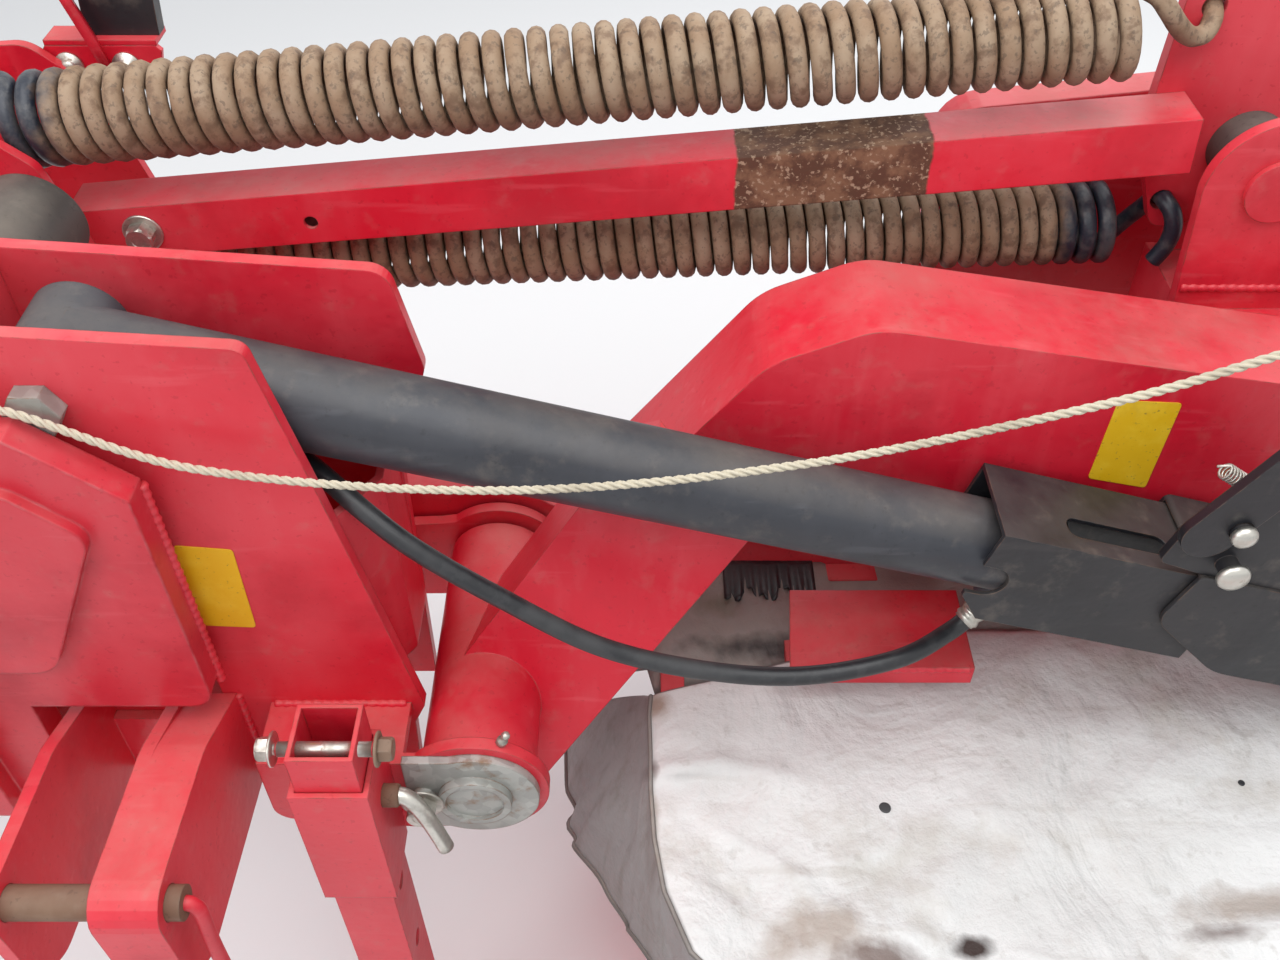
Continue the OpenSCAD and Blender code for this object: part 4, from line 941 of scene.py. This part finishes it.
# Deflector flap: a strip cut from black rubber sheet, laid on the rear sheet at its inner end. Its
# front edge is torn ragged.
flap_rows = []
ragged = random.Random(4)
teeth = [ragged.uniform(-14, 12) for n in range(26)]
for j in range(9):
    t = j / 8
    row = []
    for n in range(26):
        x = 238 + 100 * n / 25
        front = 200 + teeth[n] * 0.9 - 10 * (x > 312)
        y = 247 + (front - 247) * t
        row.append((x, y, 502 + 0.7 * cloth_height(x, y) + 4.5 * math.sin(n * 1.9) * t))
    flap_rows.append(row)
flap_rubber = hose_rubber()
flap, flap_size = cloth("deflector_flap", flap_rows, 3.0, flap_rubber, "deck")

# Lock pin of the leg: a round steel pin through the sleeve, rusty under its collar. Its handle is
# the same rod, plated, bent over so that it hangs down.
pin_line = route(((-78, -98, 590), (-66, -98, 590), (-56, -98, 589), (-48, -100, 583),
                  (-40, -103, 570), (-32, -106, 547), (-25, -109, 522)), 5)
lock_pin = swept("lock_pin_bent", pin_line, circle(0.0075, 16), PLATED, "headstock")
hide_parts("leg_lock_pin")
turned("lock_pin_collar", [(8.6, 0), (10.2, 1.2), (10.2, 14), (9.0, 16)], at(-74, -98, 590),
       (1, 0, 0), RUSTY, "headstock")

# Link pin's handle: a steel rod in the red paint, bent over where it goes into the right lower-link
# pin. It hangs straight down.
handle_line = route(((-215, -205, 611), (-204, -205, 611), (-199, -205, 603), (-198, -206, 590),
                     (-200, -207, 555), (-201, -208, 500), (-200, -209, 452)), 6)
swept("link_pin_handle", handle_line, circle(0.0062, 14), RED, "headstock")

# Latch of the transport lock: two dome-headed bolts, zinc plated, and a small spring of 2 mm wire
# that holds the latch shut.
lock_way, lock_up = Vector((0.9605, 0, -0.2783)), Vector((0.2783, 0, 0.9605))


def on_cylinder(s, y, h):
    return at(*(Vector((-277, 60 + y, 945)) + lock_way * s + lock_up * h))


for name, s, h, radius in (("latch_bolt_lower", 920, 76, 13.5),
                           ("latch_bolt_upper", 899, 120, 10.5)):
    turned(name, [(radius, 0), (radius, 3.0), (radius * 0.9, 5.5), (radius * 0.6, 7.6),
                  (radius * 0.25, 8.4)], on_cylinder(s, -59.8, h), (0, -1, 0), PLATED, "rod")
latch_coil = wound((868, -31, 156), (985, -31, 118), 6.2, 34, 14)
latch_line = [on_cylinder(*p) for p in ((860, -31, 158), *latch_coil, (993, -31, 100))]
swept("latch_spring", latch_line, circle(0.0011, 7), PLATED, "rod")


# Small red bracket behind the spring bracket: folded plate, held by two plated bolts. It carries a
# flat rod and a dark block.
def slab(name, corners, depth, material, body):
    """Flat plate: its outline in X and Z, from the far to the near depth in Y"""
    points = [at(x, y, z) for y in depth for x, z in corners]
    mesh_piece(name, points, capped(len(corners), 1), material, body, flat=True)


slab("rope_bracket", ((-391, 1019), (-388, 1023), (-289, 1023), (-284, 1018), (-292, 985),
                      (-381, 985)), (408, 402), RED, "headstock")
slab("rope_bracket_lip", ((-388, 1023), (-287, 1023), (-287, 1028), (-388, 1028)), (432, 402),
     RED, "headstock")
for label, x in (("left", -371), ("right", -319)):
    turned("rope_bracket_bolt_" + label, [(13, 0), (13, 2.2), (7.5, 2.6), (7.2, 5.0),
                                          (5.2, 7.2), (2.0, 8.0)],
           at(x, 402, 1004), (0, -1, 0), PLATED, "headstock")
swept("rope_bracket_rod", placed(((-336, 398, 1005), (-342, 398, 1030), (-352, 399, 1062),
                                  (-362, 400, 1094))),
      [(0.007 * x, 0.004 * y) for x, y in ((1, 1), (-1, 1), (-1, -1), (1, -1))], RED, "headstock")
slab("rope_bracket_block", ((-352, 1028), (-286, 1028), (-280, 1090), (-346, 1090)), (428, 412),
     BLACK, "headstock")

# Grease nipple: a small turned nipple of plated steel, screwed into the hub of the main pivot. It
# leans over along the arm.
turned("grease_nipple", [(5, 0), (5, 5), (3, 6), (3, 9), (4.2, 11), (3.4, 14), (1.5, 15.5)],
       at(26, -56, 606), (0.42, 0, 0.9), PLATED, "headstock", sides=12)

# Weld beads: fillets of weld metal laid by hand along the joints of the steelwork, and painted over
# with it in the same red.
bead_r = 0.004


def weld_bead(name, path, body):
    line = route(path, 12)
    count = max(int(length_of(line) / 0.0016), 8)
    pitch = length_of(line) / count
    spaced, gone, goal = [line[0]], 0.0, 0.0
    for a, b in zip(line, line[1:]):
        step = (b - a).length
        while step and goal + pitch <= gone + step:
            goal += pitch
            spaced.append(a.lerp(b, (goal - gone) / step))
        gone += step
    swept(name, spaced, circle(bead_r, 8), RED, body,
          swell=lambda t: 1 + 0.13 * math.sin(t * count * 1.15)
          + 0.05 * math.sin(t * count * 0.31))


for name, body, path in (
        ("sleeve_left", "headstock", ((-138, -65, 475), (-138, -65, 560), (-138, -65, 636))),
        ("casing_edge", "headstock", ((-217, -17, 645), (-217, -17, 760), (-217, -17, 885))),
        ("link_right", "headstock", ((-217, -1, 500), (-217, -1, 560), (-217, -1, 600))),
        ("ledge", "headstock", ((-186, -1, 586), (-130, -1, 586), (-66, -1, 586))),
        ("far_rib", "headstock", ((-216, 114, 862), (-201, 114, 862), (-186, 114, 862))),
        ("hub_near", "arm", ((88, 113, 704), (60, 113, 660), (54, 113, 620))),
        ("ear_near", "arm", ((632, 250, 868), (690, 250, 868), (750, 250, 868))),
        ("strut_end", "strut", ((586, 324, 968), (588, 324, 990), (589, 324, 1006))),
        ("tray_lip", "deck", ((296, 60, 556), (380, 60, 556), (466, 60, 556)))):
    weld_bead("bead_" + name, path, body)

# Eyelets: two small rings, pressed from thin metal that has gone dark and clenched through the
# front sheet, so that it can be laced down.
for name, x, y, radius in (("eyelet_near", 375, -57, 5.6), ("eyelet_far", 718, -29, 3.2)):
    turned(name, [(radius, 0), (radius, 1.0), (radius * 0.8, 1.5), (radius * 0.5, 1.2)],
           at(x, y, cover_z + cloth_height(x, y) - 0.3), (0, 0, 1), flap_rubber, "deck", sides=20)
